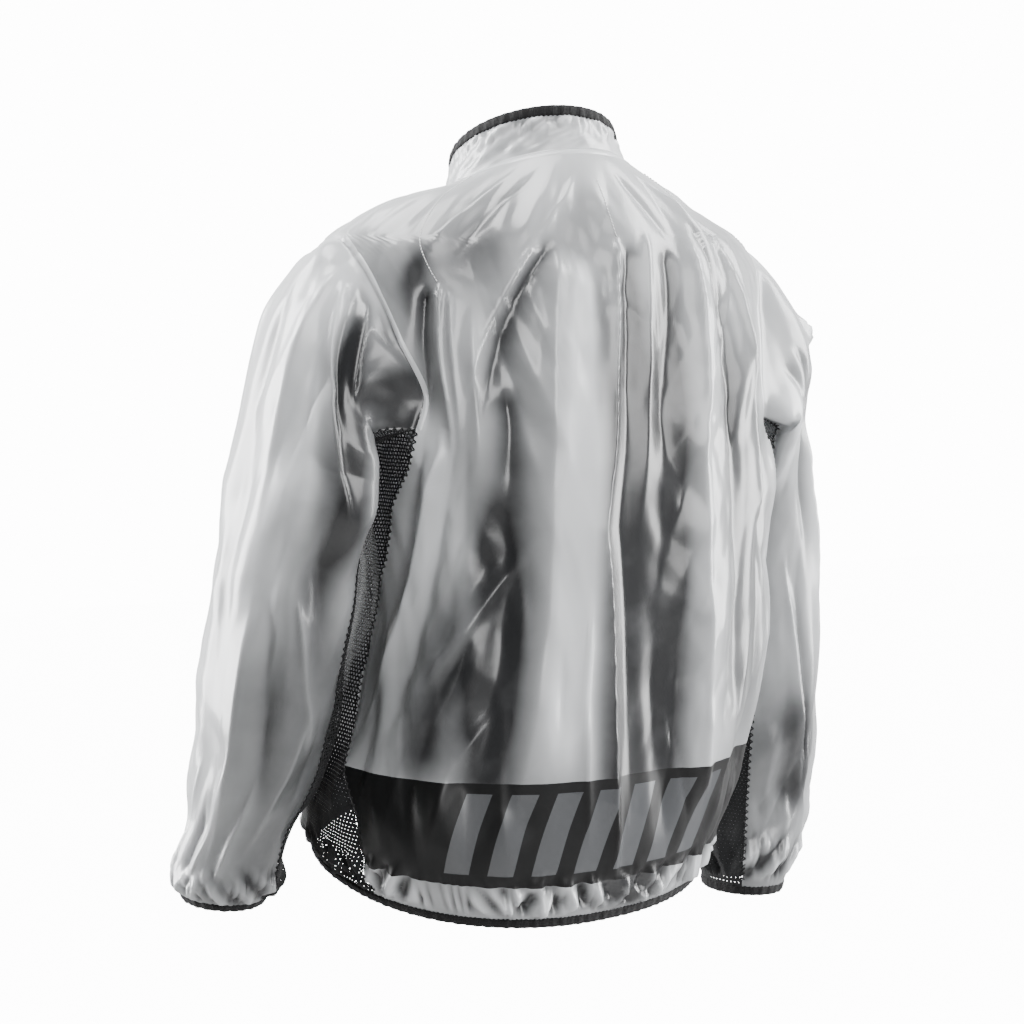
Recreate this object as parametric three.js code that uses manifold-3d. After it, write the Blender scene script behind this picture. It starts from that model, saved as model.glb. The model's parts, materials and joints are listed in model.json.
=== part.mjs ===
// A hollow raincoat of see-through film with net sides, filled out as if worn.
// Millimetres, +Z up. +X is the wearer's left, +Y the wearer's back. The origin is the
// middle of the neck's base, at the height where the coat hangs on the shoulders.
//
// The body is one surface, skin(theta, drop). theta goes round it in degrees: 0 at the
// centre back, +90 at the wearer's left side, 180 at the centre front. drop is the way
// down the cloth in mm from the neck seam. A sleeve is arm(side, phi, along): phi is 0 on
// the outer side, 90 at the back, 180 under the arm, and along runs down from the armhole.
// Every panel is a patch of such a surface, given a thickness towards the inside.
import * as THREE from 'three';
import Module from 'manifold-3d';

// Walls and gaps
const FILM = 1.2;             // thickness of film and net panels
const SEAM = 0.36;            // clear width between two panels at a seam
const BINDING_WALL = 0.9;     // elastic folded round a free edge
const BINDING_CLEARANCE = 0.4;
const BINDING_HEIGHT = 8;
const BINDING_LIP = 1.3;      // how far the binding reaches past the film's edge

// Cut of the body
const SHOULDER_DROP = 66;     // neck seam to shoulder point, down the cloth
const UNDERARM_DROP = 250;    // lowest point of the armhole
const HEM_DROP = 655;         // the film's lower edge, inside the binding
const TAPE_WIDTH = 10;        // one half of the zip, beside the centre front

// Cut of a sleeve
const SLEEVE_LENGTH = 652;    // armhole to the film's edge inside the cuff binding

// Columns and rows of the panels
const BACK_COLUMNS = 48;
const FRONT_COLUMNS = 14;
const NET_COLUMNS = 5;
const COLLAR_COLUMNS = 40;

const DEG = Math.PI / 180;

/** Rows of numbers with named columns. */
function table(names, rows) {
  const keys = names.split(' ');
  return rows.map((row) => Object.fromEntries(keys.map((key, i) => [key, row[i]])));
}

/** A smooth curve through one column of a table, read at a value of its first column. */
function read(rows, column, value, by = Object.keys(rows[0])[0]) {
  let i = 0;
  while (i < rows.length - 2 && value > rows[i + 1][by]) i += 1;
  const slope = (k) => {
    const low = rows[Math.max(k - 1, 0)];
    const high = rows[Math.min(k + 1, rows.length - 1)];
    return (high[column] - low[column]) / (high[by] - low[by]);
  };
  const width = rows[i + 1][by] - rows[i][by];
  const s = (value - rows[i][by]) / width;
  const start = rows[i][column] * (2 * s ** 3 - 3 * s ** 2 + 1);
  const end = rows[i + 1][column] * (3 * s ** 2 - 2 * s ** 3);
  const lift = slope(i) * (s ** 3 - 2 * s ** 2 + s) + slope(i + 1) * (s ** 3 - s ** 2);
  return start + end + lift * width;
}

const clamp01 = (x) => Math.min(Math.max(x, 0), 1);
const smooth = (x) => clamp01(x) ** 2 * (3 - 2 * clamp01(x));

// The body's level rings. z and tilt set a ring's height and its slope from front to back,
// x and y its middle, left/right/deep its half sizes, square its corners (2 is an ellipse)
// and turn how far it is twisted.
const BODY = table('drop z tilt x y left right deep square turn', [
  [0, -24, 0.42, 0, 0, 86, 86, 84, 2.0, 0],
  [14, -30, 0.3, 0, 0, 112, 112, 94, 1.9, 0],
  [34, -45, 0.16, 0, 2, 160, 160, 106, 1.8, 0],
  [75, -80, 0.04, 0, 6, 220, 220, 120, 1.9, 0],
  [150, -150, 0.0, -4, 12, 226, 226, 131, 2.2, 0],
  [240, -240, 0.0, -10, 17, 203, 208, 137, 2.4, 0],
  [310, -310, 0.0, -12, 17, 194, 206, 138, 2.45, 0],
  [400, -400, 0.0, -12, 12, 189, 208, 140, 2.5, 1],
  [500, -500, -0.04, -5, 2, 203, 214, 146, 2.4, 3],
  [580, -578, -0.12, 4, -16, 214, 216, 158, 2.3, 6],
  [625, -624, -0.2, 10, -28, 205, 206, 162, 2.2, 8],
  [662, -663, -0.25, 12, -38, 184, 190, 154, 2.2, 10],
]);

// Main folds of the body: a line through three (theta, drop) points, its half width in
// degrees and its height in mm, negative for a trough.
const FOLDS = table('theta0 drop0 theta1 drop1 theta2 drop2 width height', [
  [-1, 72, 10, 330, 6, 640, 4.0, 6],
  [-7, 78, 1, 330, -2, 640, 4.5, -8],
  [8, 98, 17, 400, 19, 600, 5.5, 5],
  [16, 84, 34, 250, 42, 560, 6.5, -8],
  [33, 130, 42, 212, 47, 330, 4.0, 5],
  [43, 105, 48, 190, 62, 330, 4.0, 5],
  [46, 118, 51, 178, 57, 240, 3.5, -6],
  [-14, 64, -8, 198, -3, 330, 3.0, 3],
  [-18, 76, -13, 220, -9, 560, 4.0, -6],
  [-27, 66, -22, 300, -26, 620, 4.5, 6],
  [-42, 62, -33, 228, -38, 540, 5.0, -6],
  [-38, 74, -43, 200, -52, 380, 4.0, 5],
  [52, 248, 75, 414, 84, 520, 6.0, 6],
  [60, 380, 63, 470, 58, 600, 6.0, -6],
  [-62, 250, -60, 420, -64, 600, 7.0, -5],
  [142, 90, 138, 300, 150, 600, 7.0, 6],
  [-142, 90, -138, 300, -150, 600, 7.0, 6],
  [158, 120, 160, 380, 164, 620, 6.0, -6],
  [-158, 120, -160, 380, -164, 620, 6.0, -6],
]);

const GATHER_DEPTH = 3.0;     // film drawn up by the elastic at hem, cuffs and collar

/** Height of the folds over the plain ring surface. */
function foldHeight(theta, drop) {
  let height = 0;
  for (const f of FOLDS) {
    if (drop <= f.drop0 || drop >= f.drop2) continue;
    const a = (drop - f.drop0) / (f.drop1 - f.drop0);
    const b = (drop - f.drop1) / (f.drop2 - f.drop1);
    const line = drop < f.drop1
      ? f.theta0 + (f.theta1 - f.theta0) * a
      : f.theta1 + (f.theta2 - f.theta1) * b;
    const ends = smooth((drop - f.drop0) / 50) * smooth((f.drop2 - drop) / 70);
    height += f.height * ends * Math.exp(-(((theta - line) / f.width) ** 2));
  }
  return height;
}

/** The plain body surface. */
function ring(theta, drop) {
  const g = (column) => read(BODY, column, drop);
  const s = Math.sin(theta * DEG);
  const c = Math.cos(theta * DEG);
  const n = g('square');
  const k = (Math.abs(s) ** n + Math.abs(c) ** n) ** (-1 / n);
  const across = (s > 0 ? g('left') : g('right')) * s * k;
  const back = g('deep') * c * k;
  const turn = g('turn') * DEG;
  const x = g('x') + across * Math.cos(turn) - back * Math.sin(turn);
  const y = g('y') + across * Math.sin(turn) + back * Math.cos(turn);
  return new THREE.Vector3(x, y, g('z') + g('tilt') * (y - g('y')));
}

/** Outward normal of a surface given as a function of two values. */
function normalOf(surface, u, v, du, dv, sign) {
  const along = surface(u + du, v).sub(surface(u - du, v));
  const down = surface(u, v + dv).sub(surface(u, v - dv));
  return along.cross(down).normalize().multiplyScalar(sign);
}

function skin(theta, drop) {
  const height = foldHeight(theta, drop);
  const point = ring(theta, drop);
  return height ? point.addScaledVector(normalOf(ring, theta, drop, 0.5, 0.5, 1), height) : point;
}

const skinNormal = (theta, drop) => normalOf(skin, theta, Math.max(drop, 0.6), 0.5, 0.5, 1);

// The armhole in the body surface, from the shoulder point down the back to the net.
// The front half mirrors it, and the underarm joins the two.
const ARMHOLE = table('drop theta', [
  [66, 90], [70, 81], [80, 73], [98, 66], [122, 61.5], [150, 58], [182, 55.5], [212, 55.5],
  [238, 59.5],
]);
const HALF = ARMHOLE.length - 1;
const LOOP = 2 * HALF + NET_COLUMNS;

/** Sample i of an armhole as (theta, drop), for the left side. */
function armholeAt(i) {
  if (i <= HALF) return { ...ARMHOLE[i] };
  if (i >= HALF + NET_COLUMNS) {
    const row = ARMHOLE[LOOP - i];
    return { drop: row.drop, theta: 180 - row.theta };
  }
  const s = (i - HALF) / NET_COLUMNS;
  const edge = ARMHOLE[HALF];
  return {
    theta: edge.theta + (180 - 2 * edge.theta) * s,
    drop: edge.drop + (UNDERARM_DROP - edge.drop) * Math.sin(Math.PI * s),
  };
}

/** Where the net begins on the left side's back half: armhole, then down to the hem. */
const NET_EDGE = table('drop back front', [
  [238, 59.5, 120.5], [270, 64, 119], [310, 75, 119], [355, 80.5, 121], [400, 87, 123],
  [450, 91.5, 125], [500, 90.5, 126], [550, 85, 126], [582, 78, 126], [620, 76, 126],
  [662, 75, 126],
]);

// Rings of the sleeves, mirrored to one side. Each is set by its outermost and innermost
// point (x, z), the y of its middle, its half depth from front to back and the lean of its
// back edge downwards, in degrees.
const ARM_LEFT = table('along outX outZ inX inZ y deep lean', [
  [0, 222, -76, 196, -250, 14, 80, 0],
  [40, 245, -88, 200, -258, 14, 80, 0],
  [85, 267, -121, 203, -266, 13, 78, 0],
  [135, 284, -170, 204, -276, 12, 76, 0],
  [190, 298, -225, 203, -289, 11, 75, 0],
  [250, 311, -286, 201, -309, 10, 74, 0],
  [310, 320, -348, 203, -352, 6, 68, 2],
  [360, 325, -398, 205, -398, 0, 65, 5],
  [410, 332, -448, 203, -446, -8, 65, 9],
  [455, 334, -492, 203, -490, -17, 64, 11],
  [505, 330, -541, 210, -539, -32, 60, 13],
  [550, 328, -585, 221, -583, -50, 54, 13],
  [595, 331, -629, 230, -629, -70, 50, 11],
  [632, 328, -664, 238, -664, -85, 46, 8],
  [652, 320, -681, 247, -681, -90, 39, 7],
]);
const ARM_RIGHT = table('along outX outZ inX inZ y deep lean', [
  [0, 222, -76, 218, -250, 14, 80, 0],
  [40, 240, -90, 223, -258, 12, 79, 0],
  [85, 262, -122, 226, -267, 8, 76, 0],
  [135, 282, -168, 228, -278, 0, 73, 0],
  [190, 293, -226, 229, -293, -12, 70, 0],
  [250, 305, -288, 228, -316, -26, 68, 0],
  [310, 327, -348, 227, -356, -40, 66, 0],
  [360, 343, -402, 228, -404, -49, 64, 2],
  [410, 350, -452, 228, -456, -55, 63, 3],
  [455, 354, -500, 228, -502, -60, 62, 4],
  [505, 354, -552, 229, -552, -65, 60, 5],
  [550, 353, -600, 231, -600, -70, 57, 5],
  [595, 352, -648, 235, -648, -75, 53, 5],
  [632, 337, -692, 244, -690, -79, 46, 5],
  [652, 328, -724, 250, -722, -81, 40, 5],
]);
const ARMHOLE_BLEND = 110;    // the sleeve takes over from the armhole's shape in this length

// Main folds of a sleeve: a line through three (phi, along) points, half width in degrees.
// side is 1 for a fold of the left sleeve, -1 for one of the right, 0 for one of each.
const ARM_FOLDS = table('side phi0 along0 phi1 along1 phi2 along2 width height', [
  [1, 118, 20, 116, 130, 112, 300, 24, 24],
  [1, 120, 270, 120, 330, 118, 410, 20, 12],
  [0, 70, 30, 80, 130, 96, 250, 10, 5],
  [-1, 92, 40, 100, 140, 112, 300, 9, -5],
  [0, 40, 60, 62, 230, 100, 420, 11, 5],
  [0, 20, 90, 40, 260, 70, 420, 11, -4],
  [0, 340, 60, 330, 240, 300, 420, 13, 4],
  [0, 290, 40, 282, 160, 262, 320, 11, -5],
  [0, 110, 330, 84, 470, 60, 600, 12, -5],
  [0, 84, 350, 60, 500, 50, 610, 12, 5],
  [0, 300, 360, 330, 500, 350, 610, 13, -4],
  [0, 10, 360, 12, 480, 20, 610, 12, 4],
]);

function armFold(side, phi, along) {
  let height = 0;
  for (const f of ARM_FOLDS) {
    if (f.side === -side) continue;
    if (along <= f.along0 || along >= f.along2) continue;
    const a = (along - f.along0) / (f.along1 - f.along0);
    const b = (along - f.along1) / (f.along2 - f.along1);
    const line = along < f.along1
      ? f.phi0 + (f.phi1 - f.phi0) * a
      : f.phi1 + (f.phi2 - f.phi1) * b;
    const away = ((phi - line + 540) % 360) - 180;
    const ends = smooth((along - f.along0) / 50) * smooth((f.along2 - along) / 60);
    height += f.height * ends * Math.exp(-((away / f.width) ** 2));
  }
  return height;
}

/** Angle round a sleeve of armhole sample i. The net strip covers 125 to 235 degrees. */
const NET_PHI = 125;
function phiAt(i) {
  if (i <= HALF) return (NET_PHI * i) / HALF;
  if (i >= HALF + NET_COLUMNS) return 360 - (NET_PHI * (LOOP - i)) / HALF;
  return NET_PHI + ((360 - 2 * NET_PHI) * (i - HALF)) / NET_COLUMNS;
}

/** Armhole sample nearest to an angle, as a number with a fraction. */
function sampleAt(phi) {
  let i = 0;
  while (i < LOOP - 1 && phi > phiAt(i + 1)) i += 1;
  return i + (phi - phiAt(i)) / (phiAt(i + 1) - phiAt(i));
}

/** A point of an armhole in the mirrored frame of one side. */
function loopPoint(side, sample) {
  const i = Math.min(Math.floor(sample), LOOP - 1);
  const point = (k) => {
    const at = armholeAt(k);
    return skin(side * at.theta, at.drop).multiply(new THREE.Vector3(side, 1, 1));
  };
  return point(i).lerp(point(i + 1), sample - i);
}

function armRing(rows, phi, along) {
  const g = (column) => read(rows, column, along);
  const out = new THREE.Vector3(g('outX'), g('y'), g('outZ'));
  const inner = new THREE.Vector3(g('inX'), g('y'), g('inZ'));
  const middle = out.clone().add(inner).multiplyScalar(0.5);
  const lean = g('lean') * DEG;
  const toBack = new THREE.Vector3(0, Math.cos(lean), -Math.sin(lean)).multiplyScalar(g('deep'));
  return middle
    .addScaledVector(out.sub(inner), 0.5 * Math.cos(phi * DEG))
    .addScaledVector(toBack, Math.sin(phi * DEG));
}

/** The sleeve's surface in the mirrored frame of one side. */
function arm(side, phi, along) {
  const rows = side > 0 ? ARM_LEFT : ARM_RIGHT;
  const round = ((phi % 360) + 360) % 360;
  const plain = (p, a) => {
    const point = armRing(rows, p, a);
    const own = 1 - smooth(a / ARMHOLE_BLEND);
    if (own <= 0) return point;
    const wrapped = ((p % 360) + 360) % 360;
    const offset = loopPoint(side, sampleAt(wrapped)).sub(armRing(rows, wrapped, 0));
    return point.addScaledVector(offset, own);
  };
  const height = armFold(side, round, along);
  const point = plain(phi, along);
  return height ? point.addScaledVector(normalOf(plain, phi, along, 1, 1, -1), height) : point;
}

const armNormal = (side, phi, along) => normalOf((p, a) => arm(side, p, a), phi, along, 1, 1, -1);

/** Shared normal of the two cloths at armhole sample i, in the real frame. */
function armholeNormal(side, i) {
  const at = armholeAt(i);
  const sleeve = armNormal(side, phiAt(i), 6).multiply(new THREE.Vector3(side, 1, 1));
  const corner = i === HALF || i === HALF + NET_COLUMNS;   // four pieces meet here
  return skinNormal(side * at.theta, at.drop).multiplyScalar(corner ? 2 : 1).add(sleeve).normalize();
}

// Rings of the stand collar, up from the neck seam. slant turns the way the ring slopes,
// from straight front to back towards the wearer's left.
const COLLAR = table('rise z tilt slant x y wide deep', [
  [0, -24, 0.42, 0, 0, 0, 86, 84],
  [16, -12, 0.43, 4, 0, -1, 83, 82],
  [34, 1, 0.445, 9, 0, -1, 80, 80],
  [50, 13, 0.46, 13, 0, -1, 77, 78],
]);
const COLLAR_RISE = 50;

function neck(theta, rise) {
  const g = (column) => read(COLLAR, column, rise);
  const across = g('wide') * Math.sin(theta * DEG);
  const back = g('deep') * Math.cos(theta * DEG);
  const slant = g('slant') * DEG;
  const z = g('z') + g('tilt') * (back * Math.cos(slant) + across * Math.sin(slant));
  return new THREE.Vector3(g('x') + across, g('y') + back, z);
}

const neckNormal = (theta, rise) => normalOf(neck, theta, rise, 0.5, 0.5, -1);

function neckSeamNormal(theta) {
  return neckNormal(theta, 2).add(skinNormal(theta, 2)).normalize();
}

/** A gathered free edge: ripples that swell near it and are pressed flat inside the binding. */
function gather(column, toEdge) {
  const swell = smooth((60 - toEdge) / 40) * smooth((toEdge - 9.5) / 7);
  return GATHER_DEPTH * swell * (column % 2 ? 0.5 : -0.5);
}

/** Cell of a panel: a point of its outer face and the way out. */
const cell = (p, n) => ({ p, n });

function bodyCell(theta, drop, column = 0) {
  const n = skinNormal(theta, drop);
  return cell(skin(theta, drop).addScaledVector(n, gather(column, HEM_DROP - drop)), n);
}

/** Move the sewn edges of a panel back by half a seam, square to the seam and the normal. */
function inset(rows, edges) {
  const moves = [];
  const last = rows.length - 1;
  const end = rows[0].length - 1;
  const column = (j) => rows.map((row) => row[j]);
  const push = (edge, inner) => edge.forEach((from, k) => {
    const after = edge[Math.min(k + 1, edge.length - 1)].p;
    const run = after.clone().sub(edge[Math.max(k - 1, 0)].p);
    const d = from.n.clone().cross(run).normalize();
    if (d.dot(inner[k].p.clone().sub(from.p)) < 0) d.negate();
    moves.push([from, d.multiplyScalar(SEAM / 2)]);
  });
  if (edges.includes('left')) push(column(0), column(1));
  if (edges.includes('right')) push(column(end), column(end - 1));
  if (edges.includes('top')) push(rows[0], rows[1]);
  if (edges.includes('bottom')) push(rows[last], rows[last - 1]);
  moves.forEach(([c, d]) => c.p.add(d));
  return rows;
}

/** Closed mesh from point lists and triangles, turned so that its faces look out. */
function solid(points, triangles) {
  let volume = 0;
  for (const [a, b, c] of triangles) {
    volume += points[a].dot(points[b].clone().cross(points[c]));
  }
  const faces = volume < 0 ? triangles.map(([a, b, c]) => [a, c, b]) : triangles;
  const geometry = new THREE.BufferGeometry();
  const positions = points.flatMap((p) => [p.x, p.y, p.z]);
  geometry.setAttribute('position', new THREE.Float32BufferAttribute(positions, 3));
  geometry.setIndex(faces.flat());
  geometry.computeVertexNormals();
  return geometry;
}

/** The wall of a panel: outer and inner grid joined round the edge. */
function wall(rows, { tube = false, thickness = FILM } = {}) {
  const high = rows.length;
  const wide = rows[0].length;
  const outer = rows.flat().map((c) => c.p);
  const inner = rows.flat().map((c) => c.p.clone().addScaledVector(c.n, -thickness));
  const points = [...outer, ...inner];
  const size = high * wide;
  const triangles = [];
  const quad = (a, b, c, d) => triangles.push([a, b, c], [a, c, d]);
  const at = (r, c) => r * wide + (c % wide);
  const lastColumn = tube ? wide : wide - 1;
  for (let r = 0; r < high - 1; r += 1) {
    for (let c = 0; c < lastColumn; c += 1) {
      quad(at(r, c), at(r + 1, c), at(r + 1, c + 1), at(r, c + 1));
      quad(size + at(r, c), size + at(r, c + 1), size + at(r + 1, c + 1), size + at(r + 1, c));
    }
  }
  const rim = (a, b) => quad(a, b, size + b, size + a);
  for (let c = 0; c < lastColumn; c += 1) {
    rim(at(0, c), at(0, c + 1));
    rim(at(high - 1, c + 1), at(high - 1, c));
  }
  for (let r = 0; !tube && r < high - 1; r += 1) {
    rim(at(r + 1, 0), at(r, 0));
    rim(at(r, wide - 1), at(r + 1, wide - 1));
  }
  return solid(points, triangles);
}

/** Elastic folded round a free edge. Each cell also has d, the way past the edge. */
function binding(cells, closed) {
  const outside = BINDING_CLEARANCE + BINDING_WALL;
  const inside = -FILM - BINDING_CLEARANCE;
  const section = [
    [outside, -BINDING_HEIGHT + BINDING_LIP], [outside, BINDING_LIP - 0.5],
    [outside - 0.5, BINDING_LIP], [inside - BINDING_WALL + 0.5, BINDING_LIP],
    [inside - BINDING_WALL, BINDING_LIP - 0.5], [inside - BINDING_WALL, -BINDING_HEIGHT + BINDING_LIP],
    [inside, -BINDING_HEIGHT + BINDING_LIP], [inside, BINDING_CLEARANCE],
    [BINDING_CLEARANCE, BINDING_CLEARANCE], [BINDING_CLEARANCE, -BINDING_HEIGHT + BINDING_LIP],
  ];
  const count = section.length;
  const points = cells.flatMap(({ p, n, d }) => section.map(
    ([out, past]) => p.clone().addScaledVector(n, out).addScaledVector(d, past)));
  const triangles = [];
  const stations = cells.length;
  for (let i = 0; i < (closed ? stations : stations - 1); i += 1) {
    const j = (i + 1) % stations;
    for (let k = 0; k < count; k += 1) {
      const next = (k + 1) % count;
      triangles.push([i * count + k, j * count + k, j * count + next]);
      triangles.push([i * count + k, j * count + next, i * count + next]);
    }
  }
  if (!closed) {
    // The end of the U is a bent strip, so it is closed piece by piece.
    const cap = [[0, 1, 8], [0, 8, 9], [1, 2, 8], [2, 3, 7], [2, 7, 8], [3, 4, 7], [4, 5, 6], [4, 6, 7]];
    const end = (stations - 1) * count;
    cap.forEach(([a, b, c]) => {
      triangles.push([a, b, c]);
      triangles.push([end + a, end + c, end + b]);
    });
  }
  return solid(points, triangles);
}

const group = new THREE.Group();
group.name = 'raincoat';

function add(name, geometry, colour, options = {}) {
  const material = new THREE.MeshStandardMaterial({ color: colour, ...options });
  material.name = name;
  const mesh = new THREE.Mesh(geometry, material);
  mesh.name = name;
  group.add(mesh);
  return mesh;
}

const FILM_LOOK = { roughness: 0.35, transparent: true, opacity: 0.85 };
const filmPanel = (name, geometry) => add(name, geometry, 0xd8dadc, FILM_LOOK);
const netPanel = (name, geometry) => add(name, geometry, 0x1c1c1e, { roughness: 0.9 });
const elastic = (name, geometry) => add(name, geometry, 0x121214, { roughness: 0.95 });

const SHOULDER_ROWS = [0, 16, 34, 52];
const LOWER_ROWS = [270, 310, 355, 400, 450, 500, 550, 582, 606, 626, 638, 647, HEM_DROP];

/** Theta at a distance in mm from the centre front, on the left side. */
function besideFront(drop, distance) {
  const step = ring(179.5, drop).distanceTo(ring(180, drop)) / 0.5;
  return 180 - distance / step;
}

/** Rows shared by back and fronts: drop, and the armhole sample that ends the row. */
const PANEL_ROWS = [
  ...SHOULDER_ROWS.map((drop) => ({ drop })),
  ...ARMHOLE.map(({ drop }, i) => ({ drop, i })),
  ...LOWER_ROWS.map((drop) => ({ drop })),
];

/** Edge of the back (or of a front) beside the sleeve and the net, on the left side. */
function sideEdge({ drop, i }, which) {
  if (i !== undefined) return which === 'back' ? ARMHOLE[i].theta : 180 - ARMHOLE[i].theta;
  if (drop < SHOULDER_DROP) return 90;
  return read(NET_EDGE, which, drop);
}

/** Give the cells at the neck and the armhole the normal that both cloths share there. */
function shareNormals(rows, ends) {
  rows[0].forEach((c, j) => c.n.copy(neckSeamNormal(ends.theta(0, j))));
  PANEL_ROWS.forEach(({ i }, r) => {
    if (i === undefined) return;
    ends.armholes.forEach(({ side, sample, column }) => {
      rows[r][column].n.copy(armholeNormal(side, sample(i)));
    });
  });
}

function buildBack() {
  const theta = (r, j) => sideEdge(PANEL_ROWS[r], 'back') * ((2 * j) / BACK_COLUMNS - 1);
  const rows = PANEL_ROWS.map(({ drop }, r) => Array.from(
    { length: BACK_COLUMNS + 1 }, (_, j) => bodyCell(theta(r, j), drop, j)));
  shareNormals(rows, {
    theta,
    armholes: [
      { side: -1, sample: (i) => i, column: 0 },
      { side: 1, sample: (i) => i, column: BACK_COLUMNS },
    ],
  });
  return inset(rows, ['left', 'right', 'top']);
}

function buildFront(side) {
  const theta = (r, j) => {
    const outer = sideEdge(PANEL_ROWS[r], 'front');
    const inner = besideFront(PANEL_ROWS[r].drop, TAPE_WIDTH);
    return side * (outer + ((inner - outer) * j) / FRONT_COLUMNS);
  };
  const rows = PANEL_ROWS.map(({ drop }, r) => Array.from(
    { length: FRONT_COLUMNS + 1 }, (_, j) => bodyCell(theta(r, j), drop, j)));
  shareNormals(rows, {
    theta,
    armholes: [{ side, sample: (i) => LOOP - i, column: 0 }],
  });
  return inset(rows, ['left', 'right', 'top']);
}

function buildSideNet(side) {
  const top = Array.from({ length: NET_COLUMNS + 1 }, (_, j) => {
    const at = armholeAt(HALF + j);
    return cell(skin(side * at.theta, at.drop), armholeNormal(side, HALF + j));
  });
  const rows = LOWER_ROWS.map((drop) => Array.from({ length: NET_COLUMNS + 1 }, (_, j) => {
    const back = read(NET_EDGE, 'back', drop);
    const front = read(NET_EDGE, 'front', drop);
    return bodyCell(side * (back + ((front - back) * j) / NET_COLUMNS), drop, 0);
  }));
  return inset([top, ...rows], ['left', 'right', 'top']);
}

const SLEEVE_ROWS = [0, 18, 42, 72, 108, 148, 190, 235, 280, 325, 370, 415, 460, 505, 550, 588,
  614, 630, 643, SLEEVE_LENGTH];

function armCell(side, i, along) {
  const mirror = new THREE.Vector3(side, 1, 1);
  const phi = phiAt(i);
  const n = armNormal(side, phi, Math.max(along, 1)).multiply(mirror);
  const p = arm(side, phi, along).multiply(mirror);
  if (along === 0) return cell(p, armholeNormal(side, i % LOOP));
  return cell(p.addScaledVector(n, gather(i, SLEEVE_LENGTH - along)), n);
}

/** Film of a sleeve from sample LOOP - HALF round the outside to sample HALF. */
function buildSleeve(side) {
  const samples = [];
  for (let i = LOOP - HALF; i <= LOOP; i += 1) samples.push(i);
  for (let i = 1; i <= HALF; i += 1) samples.push(i);
  const rows = SLEEVE_ROWS.map((along) => samples.map((i) => armCell(side, i, along)));
  return inset(rows, ['left', 'right', 'top']);
}

function buildSleeveNet(side) {
  const rows = SLEEVE_ROWS.map((along) => Array.from(
    { length: NET_COLUMNS + 1 }, (_, j) => armCell(side, HALF + j, along)));
  return inset(rows, ['left', 'right', 'top']);
}

const COLLAR_ROWS = [0, 14, 27, 37, 43, COLLAR_RISE];

function besideCollarFront(rise, distance) {
  const step = neck(179.5, rise).distanceTo(neck(180, rise)) / 0.5;
  return 180 - distance / step;
}

function collarCell(theta, rise, column) {
  const n = rise === 0 ? neckSeamNormal(theta) : neckNormal(theta, rise);
  const swell = smooth((34 - (COLLAR_RISE - rise)) / 20) * smooth((COLLAR_RISE - rise - 6) / 5);
  const ripple = 1.6 * swell * (column % 2 ? 0.5 : -0.5);
  return cell(neck(theta, rise).addScaledVector(n, ripple), n);
}

function buildCollar() {
  const rows = COLLAR_ROWS.map((rise) => {
    const end = besideCollarFront(rise, TAPE_WIDTH);
    return Array.from({ length: COLLAR_COLUMNS + 1 }, (_, j) => collarCell(
      end * ((2 * j) / COLLAR_COLUMNS - 1), rise, j));
  });
  return inset(rows, ['left', 'right', 'top']);
}

/** One half of the zip: up the front from the hem, then up the collar. */
function buildTape(side) {
  const pair = (make, beside, level) => [
    make(side * beside(level, TAPE_WIDTH), level),
    make(side * beside(level, 0), level),
  ];
  const collar = (theta, rise) => collarCell(theta, rise, 0);
  const body = (theta, drop) => cell(skin(theta, drop), skinNormal(theta, drop));
  const rows = [
    ...[...COLLAR_ROWS].reverse().map((rise) => pair(collar, besideCollarFront, rise)),
    ...PANEL_ROWS.slice(1).map(({ drop }) => pair(body, besideFront, drop)),
  ];
  rows.forEach((row) => row[1].n.x = 0);
  return inset(rows, ['left', 'right']);
}

/** Cells of a free edge with the way past it, for a binding. */
function edgeCells(lastRow, previousRow) {
  return lastRow.map((c, j) => {
    const d = c.p.clone().sub(previousRow[j].p).normalize();
    const n = c.n.clone().addScaledVector(d, -d.dot(c.n)).normalize();
    return { p: c.p.clone(), n, d };
  });
}

/** Join the free edges of neighbours: their shared corner becomes one cell. */
function joinEdges(parts) {
  const cells = [];
  parts.forEach((part) => {
    const previous = cells[cells.length - 1];
    const first = part[0];
    if (previous && previous.p.distanceTo(first.p) < 2 * SEAM) {
      previous.p.lerp(first.p, 0.5);
      previous.n.add(first.n).normalize();
      previous.d.add(first.d).normalize();
      cells.push(...part.slice(1));
    } else {
      cells.push(...part);
    }
  });
  return cells;
}

const lastEdge = (rows) => edgeCells(rows[rows.length - 1], rows[rows.length - 2]);

const back = buildBack();
const fronts = { left: buildFront(1), right: buildFront(-1) };
const sideNets = { left: buildSideNet(1), right: buildSideNet(-1) };
const sleeves = { left: buildSleeve(1), right: buildSleeve(-1) };
const sleeveNets = { left: buildSleeveNet(1), right: buildSleeveNet(-1) };
const collar = buildCollar();

filmPanel('back', wall(back));
filmPanel('front_left', wall(fronts.left));
filmPanel('front_right', wall(fronts.right));
netPanel('side_net_left', wall(sideNets.left));
netPanel('side_net_right', wall(sideNets.right));
filmPanel('sleeve_left', wall(sleeves.left));
filmPanel('sleeve_right', wall(sleeves.right));
netPanel('sleeve_net_left', wall(sleeveNets.left));
netPanel('sleeve_net_right', wall(sleeveNets.right));
filmPanel('collar', wall(collar));

elastic('hem_binding', binding(joinEdges([
  lastEdge(fronts.right).reverse(), lastEdge(sideNets.right).reverse(), lastEdge(back),
  lastEdge(sideNets.left), lastEdge(fronts.left),
]), false));
for (const side of ['left', 'right']) {
  const cells = joinEdges([lastEdge(sleeves[side]), lastEdge(sleeveNets[side])]);
  const end = cells.pop();
  cells[0].p.lerp(end.p, 0.5);
  cells[0].n.add(end.n).normalize();
  cells[0].d.add(end.d).normalize();
  elastic(`cuff_binding_${side}`, binding(cells, true));
}
elastic('collar_binding', binding(lastEdge(collar), false));

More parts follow.
